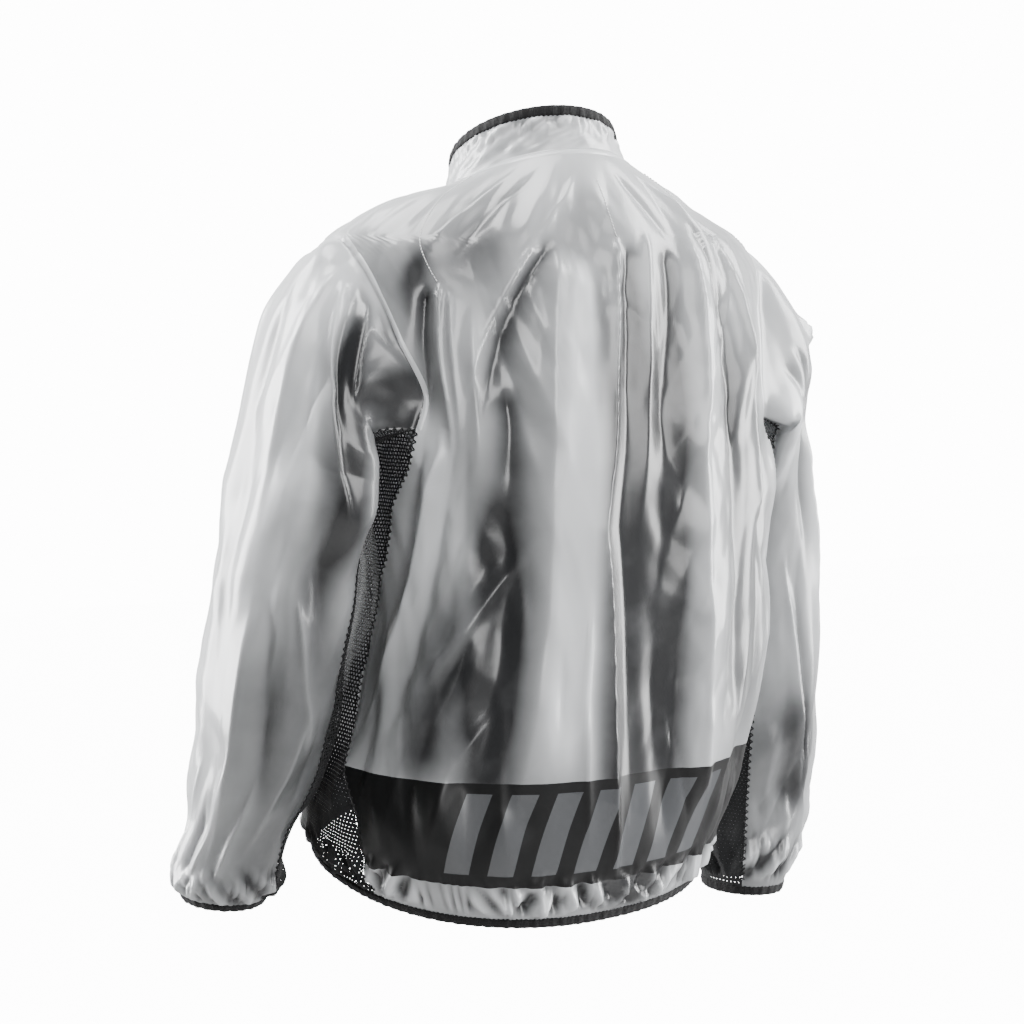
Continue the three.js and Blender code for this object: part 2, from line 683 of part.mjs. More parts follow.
for (const [side, name] of [[1, 'left'], [-1, 'right']]) {
  add(`zip_tape_${name}`, wall(buildTape(side), { thickness: FILM }), 0x18181a, { roughness: 0.9 });
}

// Zip slider and pull, built lying on the collar's front: x across, y up the zip, z out.
const SLIDER_RISE = 38;       // middle of the slider on the collar's front
const SLIDER_LENGTH = 13;
const SLIDER_WIDTH = 10;
const SLIDER_THICKNESS = 2.4;
const SLIDER_LIFT = 0.6;      // clear of the tapes
const BRIDGE_WIDTH = 2.4;
const BRIDGE_SPAN = 6.2;      // clear length under the bridge
const BRIDGE_BAR = 1.6;
const BRIDGE_CLEAR = 2.6;     // clear height under the bridge
const PULL_WIDTH = 9;
const PULL_LENGTH = 24;
const PULL_THICKNESS = 1.4;
const PULL_BAR = 1.6;         // cross bar that turns under the bridge
const PULL_HOLE_WIDTH = 4.6;
const PULL_HOLE_LENGTH = 5.2;

const { Manifold } = await (async () => {
  const kernel = await Module();
  kernel.setup();
  return kernel;
})();

function block(low, high) {
  const size = high.map((v, i) => v - low[i]);
  return Manifold.cube(size).translate(low);
}

function toGeometry(manifold) {
  const mesh = manifold.getMesh();
  const geometry = new THREE.BufferGeometry();
  geometry.setAttribute('position', new THREE.Float32BufferAttribute(mesh.vertProperties, 3));
  geometry.setIndex([...mesh.triVerts]);
  return geometry;
}

const plateTop = SLIDER_LIFT + SLIDER_THICKNESS;
const barHeight = plateTop + BRIDGE_CLEAR / 2;
const half = SLIDER_WIDTH / 2;
const sliderPlate = Manifold.hull([
  block([-half, 0, SLIDER_LIFT], [half, SLIDER_LENGTH / 2, plateTop]),
  block([-half + 1.6, -SLIDER_LENGTH / 2, SLIDER_LIFT], [half - 1.6, 0, plateTop]),
]);
const legStart = BRIDGE_SPAN / 2;
const bridgeTop = plateTop + BRIDGE_CLEAR;
const w = BRIDGE_WIDTH / 2;
const bridge = Manifold.union([
  block([-w, -legStart - BRIDGE_BAR, plateTop - 0.4], [w, -legStart, bridgeTop + BRIDGE_BAR]),
  block([-w, legStart, plateTop - 0.4], [w, legStart + BRIDGE_BAR, bridgeTop + BRIDGE_BAR]),
  block([-w, -legStart - BRIDGE_BAR, bridgeTop], [w, legStart + BRIDGE_BAR, bridgeTop + BRIDGE_BAR]),
]);
const pullPlate = block(
  [-PULL_WIDTH / 2, PULL_BAR / 2 - PULL_LENGTH, barHeight - PULL_THICKNESS / 2],
  [PULL_WIDTH / 2, PULL_BAR / 2, barHeight + PULL_THICKNESS / 2]);
const pullHole = block(
  [-PULL_HOLE_WIDTH / 2, -PULL_BAR / 2 - PULL_HOLE_LENGTH, barHeight - PULL_THICKNESS],
  [PULL_HOLE_WIDTH / 2, -PULL_BAR / 2, barHeight + PULL_THICKNESS]);

const seat = neck(180, SLIDER_RISE);
const out = neckNormal(180, SLIDER_RISE).setX(0).normalize();
const across = new THREE.Vector3(1, 0, 0);    // so that the pull hangs down from its bar
const placing = new THREE.Matrix4().makeBasis(across, out.clone().cross(across), out);
placing.setPosition(seat);

add('zip_slider', toGeometry(sliderPlate.add(bridge)).applyMatrix4(placing), 0x26262a, { roughness: 0.5 });
add('zip_pull', toGeometry(pullPlate.subtract(pullHole)).applyMatrix4(placing), 0x26262a, { roughness: 0.5 });

export default group;
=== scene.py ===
# %% [markdown]
# A see-through raincoat with net sides, filled out as if worn.
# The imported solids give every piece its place, and this script gives it its looks. Lengths
# here are in millimetres and are turned to metres when a mesh is made. +X is the wearer's
# left, +Y the wearer's back and +Z up, with the origin in the middle of the neck's base.
# Each cloth is a patch of one of three surfaces, the body, a sleeve and the collar, so that
# neighbours meet exactly, and the folds are heights added to those surfaces.

import json
import math

import bpy
import numpy as np
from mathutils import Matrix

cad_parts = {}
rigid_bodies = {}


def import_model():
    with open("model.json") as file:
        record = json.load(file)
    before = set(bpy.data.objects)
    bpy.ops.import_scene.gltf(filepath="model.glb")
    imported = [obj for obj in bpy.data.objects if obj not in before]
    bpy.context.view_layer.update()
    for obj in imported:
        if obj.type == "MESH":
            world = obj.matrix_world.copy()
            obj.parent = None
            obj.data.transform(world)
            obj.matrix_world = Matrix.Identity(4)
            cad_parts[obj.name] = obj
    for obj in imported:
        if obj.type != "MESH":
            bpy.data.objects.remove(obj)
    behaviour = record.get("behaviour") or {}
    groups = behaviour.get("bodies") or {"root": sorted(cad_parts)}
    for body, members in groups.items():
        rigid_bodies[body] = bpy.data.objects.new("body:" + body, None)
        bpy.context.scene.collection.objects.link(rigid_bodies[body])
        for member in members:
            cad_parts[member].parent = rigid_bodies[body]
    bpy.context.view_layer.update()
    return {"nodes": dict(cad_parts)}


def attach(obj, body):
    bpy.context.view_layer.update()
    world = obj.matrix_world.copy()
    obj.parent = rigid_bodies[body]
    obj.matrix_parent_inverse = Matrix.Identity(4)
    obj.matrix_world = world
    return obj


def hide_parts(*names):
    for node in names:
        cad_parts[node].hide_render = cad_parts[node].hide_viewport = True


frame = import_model()
MM = 0.001

# %% [markdown]
# The camera stands behind the coat, a little to the wearer's left and slightly above its
# middle. A long lens keeps the far sleeve nearly as large as the near one.

# %% Camera
VIEW_AZIMUTH = 150.0            # degrees round the coat; 180 would be straight from behind
VIEW_ELEVATION = 5.0
VIEW_DISTANCE = 3200.0
VIEW_TARGET = (0.0, 0.0, -330.0)
PICTURE = 1024.0                # side of the square picture, in pixels
FOCAL_PIXELS = 3404.0
TARGET_PIXEL = (535.0, 515.0)   # where the target falls in the picture
SENSOR = 36.0


def camera_axes():
    azimuth = math.radians(VIEW_AZIMUTH)
    elevation = math.radians(VIEW_ELEVATION)
    flat = math.cos(elevation)
    back = np.array([math.sin(azimuth) * flat, -math.cos(azimuth) * flat, math.sin(elevation)])
    right = np.array([math.cos(azimuth), math.sin(azimuth), 0.0])
    return right, np.cross(back, right), back


camera = bpy.data.objects.new("camera", bpy.data.cameras.new("camera"))
bpy.context.scene.collection.objects.link(camera)
cam_right, cam_up, cam_back = camera_axes()
place = np.eye(4)
place[:3, 0], place[:3, 1], place[:3, 2] = cam_right, cam_up, cam_back
place[:3, 3] = (np.array(VIEW_TARGET) + cam_back * VIEW_DISTANCE) * MM
camera.matrix_world = place.T.tolist()
camera.data.sensor_width = SENSOR
camera.data.lens = FOCAL_PIXELS * SENSOR / PICTURE
camera.data.shift_x = (PICTURE / 2 - TARGET_PIXEL[0]) / PICTURE
camera.data.shift_y = (TARGET_PIXEL[1] - PICTURE / 2) / PICTURE
camera.data.clip_end = 60.0
bpy.context.scene.camera = camera
print("lens", round(camera.data.lens, 1), "mm")

# %% [markdown]
# Every size that changes down the coat sits in a table with a row for each ring, and a
# smooth curve through the rows gives the values between them. It is the way a pattern
# cutter works too: measure at the shoulder, chest, waist and hem, and join with a curve.

# %% Tables and curves


def table(names, rows):
    """Columns by name from rows of numbers."""
    return {name: np.array([row[i] for row in rows], float) for i, name in enumerate(names.split())}


def read(columns, name, value):
    """A smooth curve through one column, read at values of the table's first column."""
    x = next(iter(columns.values()))
    y = columns[name]
    value = np.asarray(value, float)
    before = np.maximum(np.arange(len(x)) - 1, 0)
    after = np.minimum(np.arange(len(x)) + 1, len(x) - 1)
    slope = (y[after] - y[before]) / (x[after] - x[before])
    i = np.clip(np.searchsorted(x, value, side="left") - 1, 0, len(x) - 2)
    width = x[i + 1] - x[i]
    s = (value - x[i]) / width
    ends = y[i] * (2 * s**3 - 3 * s**2 + 1) + y[i + 1] * (3 * s**2 - 2 * s**3)
    return ends + width * (slope[i] * (s**3 - 2 * s**2 + s) + slope[i + 1] * (s**3 - s**2))


def smooth(x):
    """A soft step from 0 to 1."""
    x = np.clip(x, 0.0, 1.0)
    return x * x * (3 - 2 * x)


def ease(x, start, end):
    """A soft step from 0 at start to 1 at end, which may also lie below the start."""
    return smooth((x - start) / (end - start))


def unit(v):
    return v / np.maximum(np.linalg.norm(v, axis=-1, keepdims=True), 1e-9)


def spread(a, b):
    """Two arrays of numbers, brought to one shape."""
    return np.broadcast_arrays(np.asarray(a, float), np.asarray(b, float))


def wrap(angle):
    """Degrees brought to between -180 and 180."""
    return (np.asarray(angle, float) + 180) % 360 - 180


def run_length(line):
    """Length in mm from the start of a polyline to each of its points."""
    return np.concatenate([[0], np.cumsum(np.linalg.norm(np.diff(line, axis=0), axis=1))])


def read_line(at, length, line):
    """Values of a three-column line at some lengths along it."""
    return np.stack([np.interp(at, length, line[:, i]) for i in range(3)], -1)


# Rings of the body, down from the neck seam. z and tilt are a ring's height and slope from
# front to back, x and y its middle, left, right and deep its half sizes, square its corners
# (2 is an ellipse) and turn its twist in degrees.
BODY = table("drop z tilt x y left right deep square turn", [
    (0, -24, 0.42, 0, 0, 86, 86, 84, 2.0, 0),
    (14, -30, 0.3, 0, 0, 112, 112, 94, 1.9, 0),
    (34, -45, 0.16, 0, 2, 160, 160, 106, 1.8, 0),
    (75, -80, 0.04, 0, 6, 220, 220, 120, 1.9, 0),
    (150, -150, 0.0, -4, 12, 226, 226, 131, 2.2, 0),
    (240, -240, 0.0, -10, 17, 203, 208, 137, 2.4, 0),
    (310, -310, 0.0, -12, 17, 194, 206, 138, 2.45, 0),
    (400, -400, 0.0, -12, 12, 189, 208, 140, 2.5, 1),
    (500, -500, -0.04, -5, 2, 203, 214, 146, 2.4, 3),
    (580, -578, -0.12, 4, -16, 214, 216, 158, 2.3, 6),
    (625, -624, -0.2, 10, -28, 205, 206, 162, 2.2, 8),
    (662, -663, -0.25, 12, -38, 184, 190, 154, 2.2, 10),
])
HEM_DROP = 655.0
TAPE_WIDTH = 10.0
DEGREE_MM = 3.3                  # cloth per degree round the body, on average
SIDES = ((1, "left"), (-1, "right"))


def ring(theta, drop):
    """Plain body surface. theta is 0 at the centre back and +90 at the wearer's left."""
    theta, drop = spread(theta, drop)
    s, c = np.sin(np.radians(theta)), np.cos(np.radians(theta))
    n = read(BODY, "square", drop)
    k = (np.abs(s) ** n + np.abs(c) ** n) ** (-1 / n)
    across = np.where(s > 0, read(BODY, "left", drop), read(BODY, "right", drop)) * s * k
    back = read(BODY, "deep", drop) * c * k
    turn = np.radians(read(BODY, "turn", drop))
    x = read(BODY, "x", drop) + across * np.cos(turn) - back * np.sin(turn)
    local_y = across * np.sin(turn) + back * np.cos(turn)
    z = read(BODY, "z", drop) + read(BODY, "tilt", drop) * local_y
    return np.stack([x, read(BODY, "y", drop) + local_y, z], -1)


def normals(surface, u, v, du=0.5, dv=0.5, sign=1.0):
    """Outward normals of surface(u, v) by small steps both ways."""
    along = surface(u + du, v) - surface(u - du, v)
    down = surface(u, v + dv) - surface(u, v - dv)
    return unit(np.cross(along, down)) * sign


print("chest ring is", round(float(2 * read(BODY, "deep", 240.0))), "mm deep")

# %% [markdown]
# Film doesn't drape like wool. It breaks into long straight ridges that run out to a point,
# with flat faces between them. Each row below is one fold, a line through three places on
# the surface with a half width and a height, and edge sharpens its crest. The main ones are
# placed where the real coat has them, and small seeded ones fill in between.

# %% Folds of the body
# A row: three points (theta, drop), the half widths to the left and right of the line, which
# are narrower where it starts, the height, the edge (2 is a soft wave, 1 a sharp crest) and
# how far in mm its two ends take to fade.
BODY_FOLDS = [
    # the centre pleat: a broad face up to its edge, which falls off sharply to the right
    (12, 70, 22, 240, 30, 590, 4, 13, 9, 1.2, 40, 90),
    (-3.5, 66, 9, 330, 1, 640, 3.4, 1.0, 7, 1.0, 16, 60),
    (-6, 72, 3.5, 330, -3, 610, 3.0, 6, -6, 1.5, 20, 110),
    (-12.5, 58, -7, 198, -2, 360, 3.2, 3.6, 4.5, 1.1, 20, 130),
    (-18.5, 72, -11, 230, -7, 580, 6, 6.5, -7, 1.6, 20, 120),
    (-26, 62, -21.5, 270, -26, 610, 4.2, 8, 10, 1.1, 30, 80),
    (-34, 90, -34, 300, -38, 560, 4, 4, -5, 1.4, 40, 90),
    (-31, 56, -32, 170, -36, 300, 2.4, 2.6, -6, 1.3, 16, 80),
    (-39, 54, -42, 150, -50, 420, 2.2, 4, 7, 1.0, 20, 120),
    (-52, 240, -47, 400, -50, 600, 4, 4, -5, 1.5, 60, 80),
    (-64, 230, -58, 380, -60, 560, 4, 4, 6, 1.3, 60, 80),
    (-16, 420, -15, 520, -12, 610, 3, 3, -4, 1.4, 50, 50),
    # the left tuck opening into two ridges and a trough
    (43, 106, 46.5, 178, 50, 300, 2.0, 2.0, 8, 1.0, 12, 80),
    (46.5, 110, 51, 178, 57, 250, 2.6, 2.4, -9, 1.3, 12, 50),
    (40.5, 112, 43, 178, 47.5, 270, 1.4, 2.2, 6, 1.0, 16, 60),
    (35, 124, 38, 176, 44, 300, 2.6, 2.6, 6, 1.2, 40, 80),
    (56, 150, 60, 210, 66, 300, 2.6, 2.6, 5, 1.1, 30, 60),
    (50, 236, 68, 380, 84, 520, 3.4, 4.4, 9, 1.1, 40, 80),
    (57, 250, 68, 340, 80, 430, 3.4, 3.2, -6, 1.4, 40, 60),
    (46, 230, 60, 380, 74, 560, 3, 3.4, -5, 1.4, 50, 80),
    # the slanting valley, its bright lip and the peak that opens below it
    (13.5, 70, 24, 122, 42, 246, 3.0, 3.8, -8, 1.2, 20, 60),
    (17, 68, 28.5, 124, 45, 226, 3.0, 1.4, 6, 1.0, 20, 60),
    (31, 198, 36, 330, 40, 580, 8, 6, -9, 1.6, 24, 110),
    (26, 330, 44, 400, 66, 500, 5, 3.5, 6, 1.2, 50, 60),
    (46, 420, 54, 480, 60, 580, 5, 4, -6, 1.4, 40, 60),
    (36, 480, 48, 540, 54, 610, 4, 3, 5, 1.2, 40, 40),
    (14, 380, 14, 480, 10, 610, 2, 2.4, 4, 1.1, 60, 50),
    # from the neck out over the shoulders
    (6, 18, 14, 50, 26, 110, 2.4, 2.4, 3.5, 1.1, 14, 50),
    (22, 14, 32, 40, 42, 100, 3.4, 3, -4, 1.2, 14, 40),
    (34, 12, 42, 40, 50, 96, 3.0, 3, 4, 1.1, 14, 30),
    (-12, 16, -18, 44, -24, 100, 2.6, 2.6, -4, 1.2, 14, 40),
    (-26, 14, -33, 40, -37, 100, 3, 2.4, 4, 1.1, 14, 40),
    (62, 14, 68, 40, 70, 80, 4, 4, 3, 1.2, 14, 30),
    (-58, 14, -62, 40, -62, 90, 4, 4, 3, 1.2, 14, 30),
    (74, 8, 80, 34, 86, 84, 22, 22, 8, 2.0, 20, 40),
    (-66, 14, -74, 44, -80, 100, 22, 22, -11, 2.0, 24, 50),
    # the fronts, which hang more plainly
    (150, 70, 144, 240, 150, 600, 5, 5, 7, 1.3, 40, 90),
    (163, 90, 160, 300, 166, 560, 4.5, 4.5, -6, 1.5, 60, 90),
    (134, 200, 137, 380, 140, 600, 4.5, 4.5, -6, 1.5, 60, 90),
    (-146, 70, -141, 260, -148, 610, 5, 5, 7, 1.3, 40, 90),
    (-161, 110, -163, 330, -158, 600, 4.5, 4.5, -6, 1.5, 60, 90),
    (-132, 190, -136, 360, -134, 600, 4.5, 4.5, -5, 1.5, 60, 90),
    (171, 60, 170, 180, 172, 330, 3, 3, 4, 1.2, 30, 90),
    (-171, 60, -170, 180, -172, 330, 3, 3, 4, 1.2, 30, 90),
]


NARROW = 0.4                     # a fold's width where it starts, as a share of its full one
WIDE_AT = 0.45                   # the share of its length where it has its full width


def fold_height(folds, u, v, period=None):
    """Sum of the folds' heights at (u, v), which goes round after a period if it has one."""
    total = np.zeros(np.broadcast(u, v).shape)
    for u0, v0, u1, v1, u2, v2, plus, minus, height, edge, rise, die in folds:
        first = (u1 - u0) * np.clip((v - v0) / (v1 - v0), 0, 1)
        then = (u2 - u1) * np.clip((v - v1) / (v2 - v1), 0, 1)
        away = u - (u0 + first + then)
        if period:
            away = (away + period / 2) % period - period / 2
        opened = NARROW + (1 - NARROW) * smooth((v - v0) / (WIDE_AT * (v2 - v0)))
        width = np.where(away > 0, plus, minus) * opened
        ends = smooth((v - v0) / rise) * smooth((v2 - v) / die)
        total += height * ends * np.exp(-np.abs(away / width) ** edge)
    return total


def small_folds(count, seed, u_range, v_range, width, height):
    """Short seeded creases between the main folds, mostly running down the cloth."""
    rng = np.random.default_rng(seed)
    rows = []
    for _ in range(count):
        u0, v0 = rng.uniform(*u_range), rng.uniform(*v_range)
        long, lean = rng.uniform(50, 170), rng.normal(0, 7)
        plus = rng.uniform(*width)
        minus = plus * rng.uniform(0.5, 1.5)
        crest = rng.uniform(*height) * rng.choice((-1, 1))
        edge, fade = rng.uniform(1.0, 1.6), long * 0.4
        rows.append((u0, v0, u0 + lean / 2, v0 + long / 2, u0 + lean, v0 + long,
                     plus, minus, crest, edge, fade, fade))
    return rows


def hash_wave(u, v, seed, waves=9, low=0.02, high=0.08):
    """Seeded sum of slanting waves: a cheap, smooth and repeatable unevenness."""
    rng = np.random.default_rng(seed)
    total = np.zeros(np.broadcast(u, v).shape)
    for _ in range(waves):
        size = rng.uniform(low, high)
        turn = rng.uniform(-0.6, 0.6)
        phase = rng.uniform(0, 2 * math.pi)
        total += np.sin(2 * math.pi * size * (u * math.cos(turn) + v * math.sin(turn)) + phase)
    return total / math.sqrt(waves)


def facets(u, v, seed, spacing, slope, waves=5):
    """Flat faces that meet in straight creases, as crumpled film has: a sum of slanting
    zigzags, each with its own spacing in mm and each stronger in some places than others."""
    rng = np.random.default_rng(seed)
    total = np.zeros(np.broadcast(u, v).shape)
    for i in range(waves):
        long = rng.uniform(*spacing)
        turn = rng.uniform(-0.9, 0.9)
        place = u * math.cos(turn) + v * math.sin(turn)
        place = place + 0.25 * long * hash_wave(u, v, seed + 10 * i + 3, 3, 0.003, 0.008)
        zigzag_height = np.abs((place / long + rng.uniform(0, 1)) % 1.0 - 0.5) - 0.25
        strong = np.clip(0.35 + 1.0 * hash_wave(u, v * 0.6, seed + 10 * i, 3, 0.003, 0.009), 0, 1.4)
        total += zigzag_height * long * slope * strong
    return total


BODY_CREASES = small_folds(130, 11, (-180, 180), (70, 520), (1.0, 3.0), (0.6, 2.2))
BOUND = 7.0                      # mm of cloth inside a binding, where ripples are pressed flat
PRESSED = 0.03                   # the share of the ripples left there


def gathers(u, to_edge, seed, pitch, depth, reach):
    """Ripples of film drawn up on elastic: u in mm along the edge, to_edge in mm to it."""
    swell = PRESSED + (1 - PRESSED) * ease(to_edge, BOUND, BOUND + 8)
    swell = ease(to_edge, reach, 0.2 * reach) * swell
    drift = 1.5 * hash_wave(u, to_edge * 0.6, seed, low=0.006, high=0.026)
    ridges = np.abs(np.sin(math.pi * (u / pitch) + drift))
    uneven = np.clip(0.6 + 0.5 * hash_wave(u, to_edge * 2, seed + 1, low=0.01, high=0.04), 0.1, 1.5)
    crumples = facets(u, to_edge, seed + 2, (13, 30), 0.11)
    return depth * swell * ((ridges - 0.6) * uneven * 0.75 + crumples)


def hem_gathers(theta, drop, depth):
    return gathers(theta * DEGREE_MM, HEM_DROP - drop, 3, 13.0, depth, 46.0)


def skin(theta, drop):
    """The body with its folds."""
    theta, drop = spread(theta, drop)
    # the broad faces beside the centre pleat stay smooth
    broad = 1 - 0.8 * np.exp(-((theta - 6) / 15) ** 4) * ease(drop, 160, 250)
    height = fold_height(BODY_FOLDS, theta, drop)
    height = height + broad * fold_height(BODY_CREASES, theta, drop)
    fade = broad * ease(drop, 6, 46) * ease(drop, HEM_DROP - 20, HEM_DROP - 80)
    height = height + fade * facets(theta * DEGREE_MM, drop, 31, (60, 130), 0.09)
    height = height + fade * facets(theta * DEGREE_MM, drop, 32, (22, 48), 0.05)
    height = height + hem_gathers(theta, drop, 9.0)
    calm = smooth(drop / 40)
    return ring(theta, drop) + normals(ring, theta, drop) * (height * calm)[..., None]


print("folds on the body:", len(BODY_FOLDS), "by hand,", len(BODY_CREASES), "small")

# %% [markdown]
# A sleeve starts as the armhole, a loop on the body, and becomes a tube. Each ring is set by
# its outermost and innermost point, which is easy to read off a picture, and the armhole's
# own shape fades out over the first part of the sleeve.

# %% Sleeves
ARMHOLE = table("sample drop theta", [
    (0, 66, 90), (1, 70, 81), (2, 80, 73), (3, 98, 66), (4, 122, 61.5), (5, 150, 58),
    (6, 182, 55.5), (7, 212, 55.5), (8, 238, 59.5),
])
ARMHOLE_STEPS = 8.0
FILM_END_DROP = 238.0            # where the armhole's film part ends and the net begins
UNDERARM_DROP = 250.0
NET_PHI = 125.0                  # the net strip under the arm runs from 125 to 235 degrees
SLEEVE_LENGTH = 652.0
ARMHOLE_BLEND = 110.0
ARM_DEGREE_MM = 1.2              # cloth per degree round the upper arm
CUFF_DEGREE_MM = 0.9
CUFF_SWELLS = ((626, 15, 5.5), (572, 26, -5.0))     # middle, half width and height, in mm

ARM_COLUMNS = "along outX outZ inX inZ y deep lean"
ARMS = {
    1: table(ARM_COLUMNS, [
        (0, 222, -76, 196, -250, 14, 80, 0),
        (40, 245, -88, 200, -258, 14, 80, 0),
        (85, 267, -121, 203, -266, 13, 78, 0),
        (135, 284, -170, 204, -276, 12, 76, 0),
        (190, 298, -225, 203, -289, 11, 75, 0),
        (250, 311, -286, 201, -309, 10, 74, 0),
        (310, 320, -348, 203, -352, 6, 68, 2),
        (360, 325, -398, 205, -398, 0, 65, 5),
        (410, 332, -448, 203, -446, -8, 65, 9),
        (455, 334, -492, 203, -490, -17, 64, 11),
        (505, 330, -541, 210, -539, -32, 60, 13),
        (550, 328, -585, 221, -583, -50, 54, 13),
        (595, 331, -629, 230, -629, -70, 50, 11),
        (632, 328, -664, 238, -664, -85, 46, 8),
        (652, 320, -681, 247, -681, -90, 39, 7),
    ]),
    -1: table(ARM_COLUMNS, [
        (0, 222, -76, 218, -250, 14, 80, 0),
        (40, 240, -90, 223, -258, 12, 79, 0),
        (85, 262, -122, 226, -267, 8, 76, 0),
        (135, 282, -168, 228, -278, 0, 73, 0),
        (190, 293, -226, 229, -293, -12, 70, 0),
        (250, 305, -288, 228, -316, -26, 68, 0),
        (310, 327, -348, 227, -356, -40, 66, 0),
        (360, 343, -402, 228, -404, -49, 64, 2),
        (410, 350, -452, 228, -456, -55, 63, 3),
        (455, 354, -500, 228, -502, -60, 62, 4),
        (505, 354, -552, 229, -552, -65, 60, 5),
        (550, 353, -600, 231, -600, -70, 57, 5),
        (595, 352, -648, 235, -648, -75, 53, 5),
        (632, 337, -692, 244, -690, -79, 46, 5),
        (652, 328, -724, 250, -722, -81, 40, 5),
    ]),
}

# Rows as on the body, with points (phi, along).
SHARED_ARM_FOLDS = [
    (6, 60, 4, 300, 12, 590, 15, 15, -5, 2.0, 60, 90),
    (-24, 50, -30, 220, -48, 460, 12, 12, 4, 1.5, 50, 120),
    (-52, 40, -58, 180, -78, 380, 9, 9, -5, 1.5, 40, 120),
    (-80, 40, -84, 180, -98, 350, 8, 7, 6, 1.2, 40, 90),
    (-66, 330, -54, 470, -40, 610, 9, 9, 6, 1.3, 60, 60),
    (-96, 340, -90, 470, -80, 600, 8, 8, -5, 1.3, 60, 60),
    (34, 470, 28, 560, 20, 625, 9, 6, 6, 1.2, 60, 30),
    (-6, 500, -10, 570, -12, 630, 7, 8, 6, 1.2, 50, 30),
    (12, 540, 10, 590, 8, 632, 5, 5, -5, 1.3, 40, 24),
    (62, 500, 54, 570, 50, 628, 7, 5, 5, 1.2, 50, 24),
    (-40, 520, -38, 580, -34, 630, 7, 7, 5, 1.3, 40, 24),
]
ARM_FOLDS = {
    1: SHARED_ARM_FOLDS + [
        # the bag of film that hangs over the net under the arm
        (120, 20, 118, 190, 114, 330, 16, 24, 24, 2.0, 190, 70),
        (118, 270, 120, 330, 118, 410, 16, 18, 14, 2.0, 50, 60),
        # folds fanning out from the back of the armhole
        (38, 24, 36, 120, 28, 300, 7, 11, 6, 1.3, 30, 140),
        (42, 30, 58, 85, 76, 138, 5, 5, 6, 1.1, 20, 30),
        (50, 20, 68, 90, 90, 180, 6, 6, -8, 1.4, 24, 60),
        (58, 16, 77, 66, 98, 116, 5, 5, 6, 1.1, 16, 30),
        (72, 110, 86, 190, 106, 300, 4, 10, 8, 1.1, 20, 70),
        (84, 270, 96, 340, 106, 420, 8, 8, -5, 1.5, 50, 70),
        (74, 340, 88, 410, 104, 500, 10, 4, 7, 1.1, 30, 60),
        (50, 330, 58, 430, 70, 560, 9, 9, -5, 1.6, 70, 80),
        (96, 430, 84, 510, 70, 600, 7, 5, 5, 1.2, 50, 50),
    ],
    -1: SHARED_ARM_FOLDS + [
        (92, 40, 100, 140, 112, 300, 9, 9, -5, 1.4, 40, 90),
        (122, 10, 120, 110, 116, 290, 15, 22, 18, 2.0, 60, 90),
        (54, 70, 40, 170, 22, 300, 7, 4, 10, 1.0, 30, 90),
        (40, 60, 26, 150, 8, 260, 6, 6, -8, 1.3, 30, 90),
        (66, 110, 60, 230, 48, 420, 8, 6, 7, 1.1, 40, 120),
        (41, 104, 41, 165, 40, 245, 28, 28, -17, 2.0, 36, 60),
        (80, 60, 78, 200, 72, 380, 6, 8, -6, 1.4, 40, 120),
        (104, 330, 84, 450, 60, 590, 8, 6, 7, 1.1, 60, 60),
        (90, 360, 72, 470, 50, 600, 6, 6, -6, 1.4, 60, 60),
    ],
}
ARM_CREASES = {side: small_folds(30, 20 + side, (-125, 125), (60, 520), (3.0, 8.0), (0.5, 1.5))
               for side in (1, -1)}


def armhole_edge(phi):
    """theta and drop of the armhole at angle phi, as far round as its film part goes."""
    sample = np.clip(np.abs(phi) / NET_PHI, 0, 1) * ARMHOLE_STEPS
    return read(ARMHOLE, "theta", sample), read(ARMHOLE, "drop", sample)


def armhole_point(side, phi):
    """Point of the armhole at angle phi, in the frame mirrored to the left side."""
    phi = wrap(phi)
    under = np.clip((np.abs(phi) - NET_PHI) / (180 - NET_PHI), 0, 1)
    theta, drop = armhole_edge(phi)
    theta = theta + (90 - theta) * under
    drop = drop + (UNDERARM_DROP - FILM_END_DROP) * np.sin(under * math.pi / 2)
    theta = np.where(phi >= 0, theta, 180 - theta)
    return skin(side * theta, drop) * (side, 1, 1)


LOOP_PHI = np.linspace(-180, 180, 721)
LOOPS = {side: armhole_point(side, LOOP_PHI) for side in (1, -1)}


def arm_ring(side, phi, along):
    rows = ARMS[side]
    out, inner = (np.stack([read(rows, name, along) for name in names], -1)
                  for names in (("outX", "y", "outZ"), ("inX", "y", "inZ")))
    lean = np.radians(read(rows, "lean", along))
    deep = read(rows, "deep", along)
    back = np.stack([0 * lean, np.cos(lean), -np.sin(lean)], -1) * deep[..., None]
    c, s = np.cos(np.radians(phi))[..., None], np.sin(np.radians(phi))[..., None]
    return (out + inner) / 2 + (out - inner) / 2 * c + back * s


def arm_plain(side, phi, along):
    phi, along = spread(phi, along)
    point = arm_ring(side, phi, along)
    own = 1 - smooth(along / ARMHOLE_BLEND)
    wrapped = wrap(phi)
    loop = read_line(wrapped, LOOP_PHI, LOOPS[side])
    return point + (loop - arm_ring(side, phi, 0 * along)) * own[..., None]


def cuff_gathers(phi, along, depth):
    return gathers(phi * CUFF_DEGREE_MM, SLEEVE_LENGTH - along, 5, 11.0, depth, 58.0)


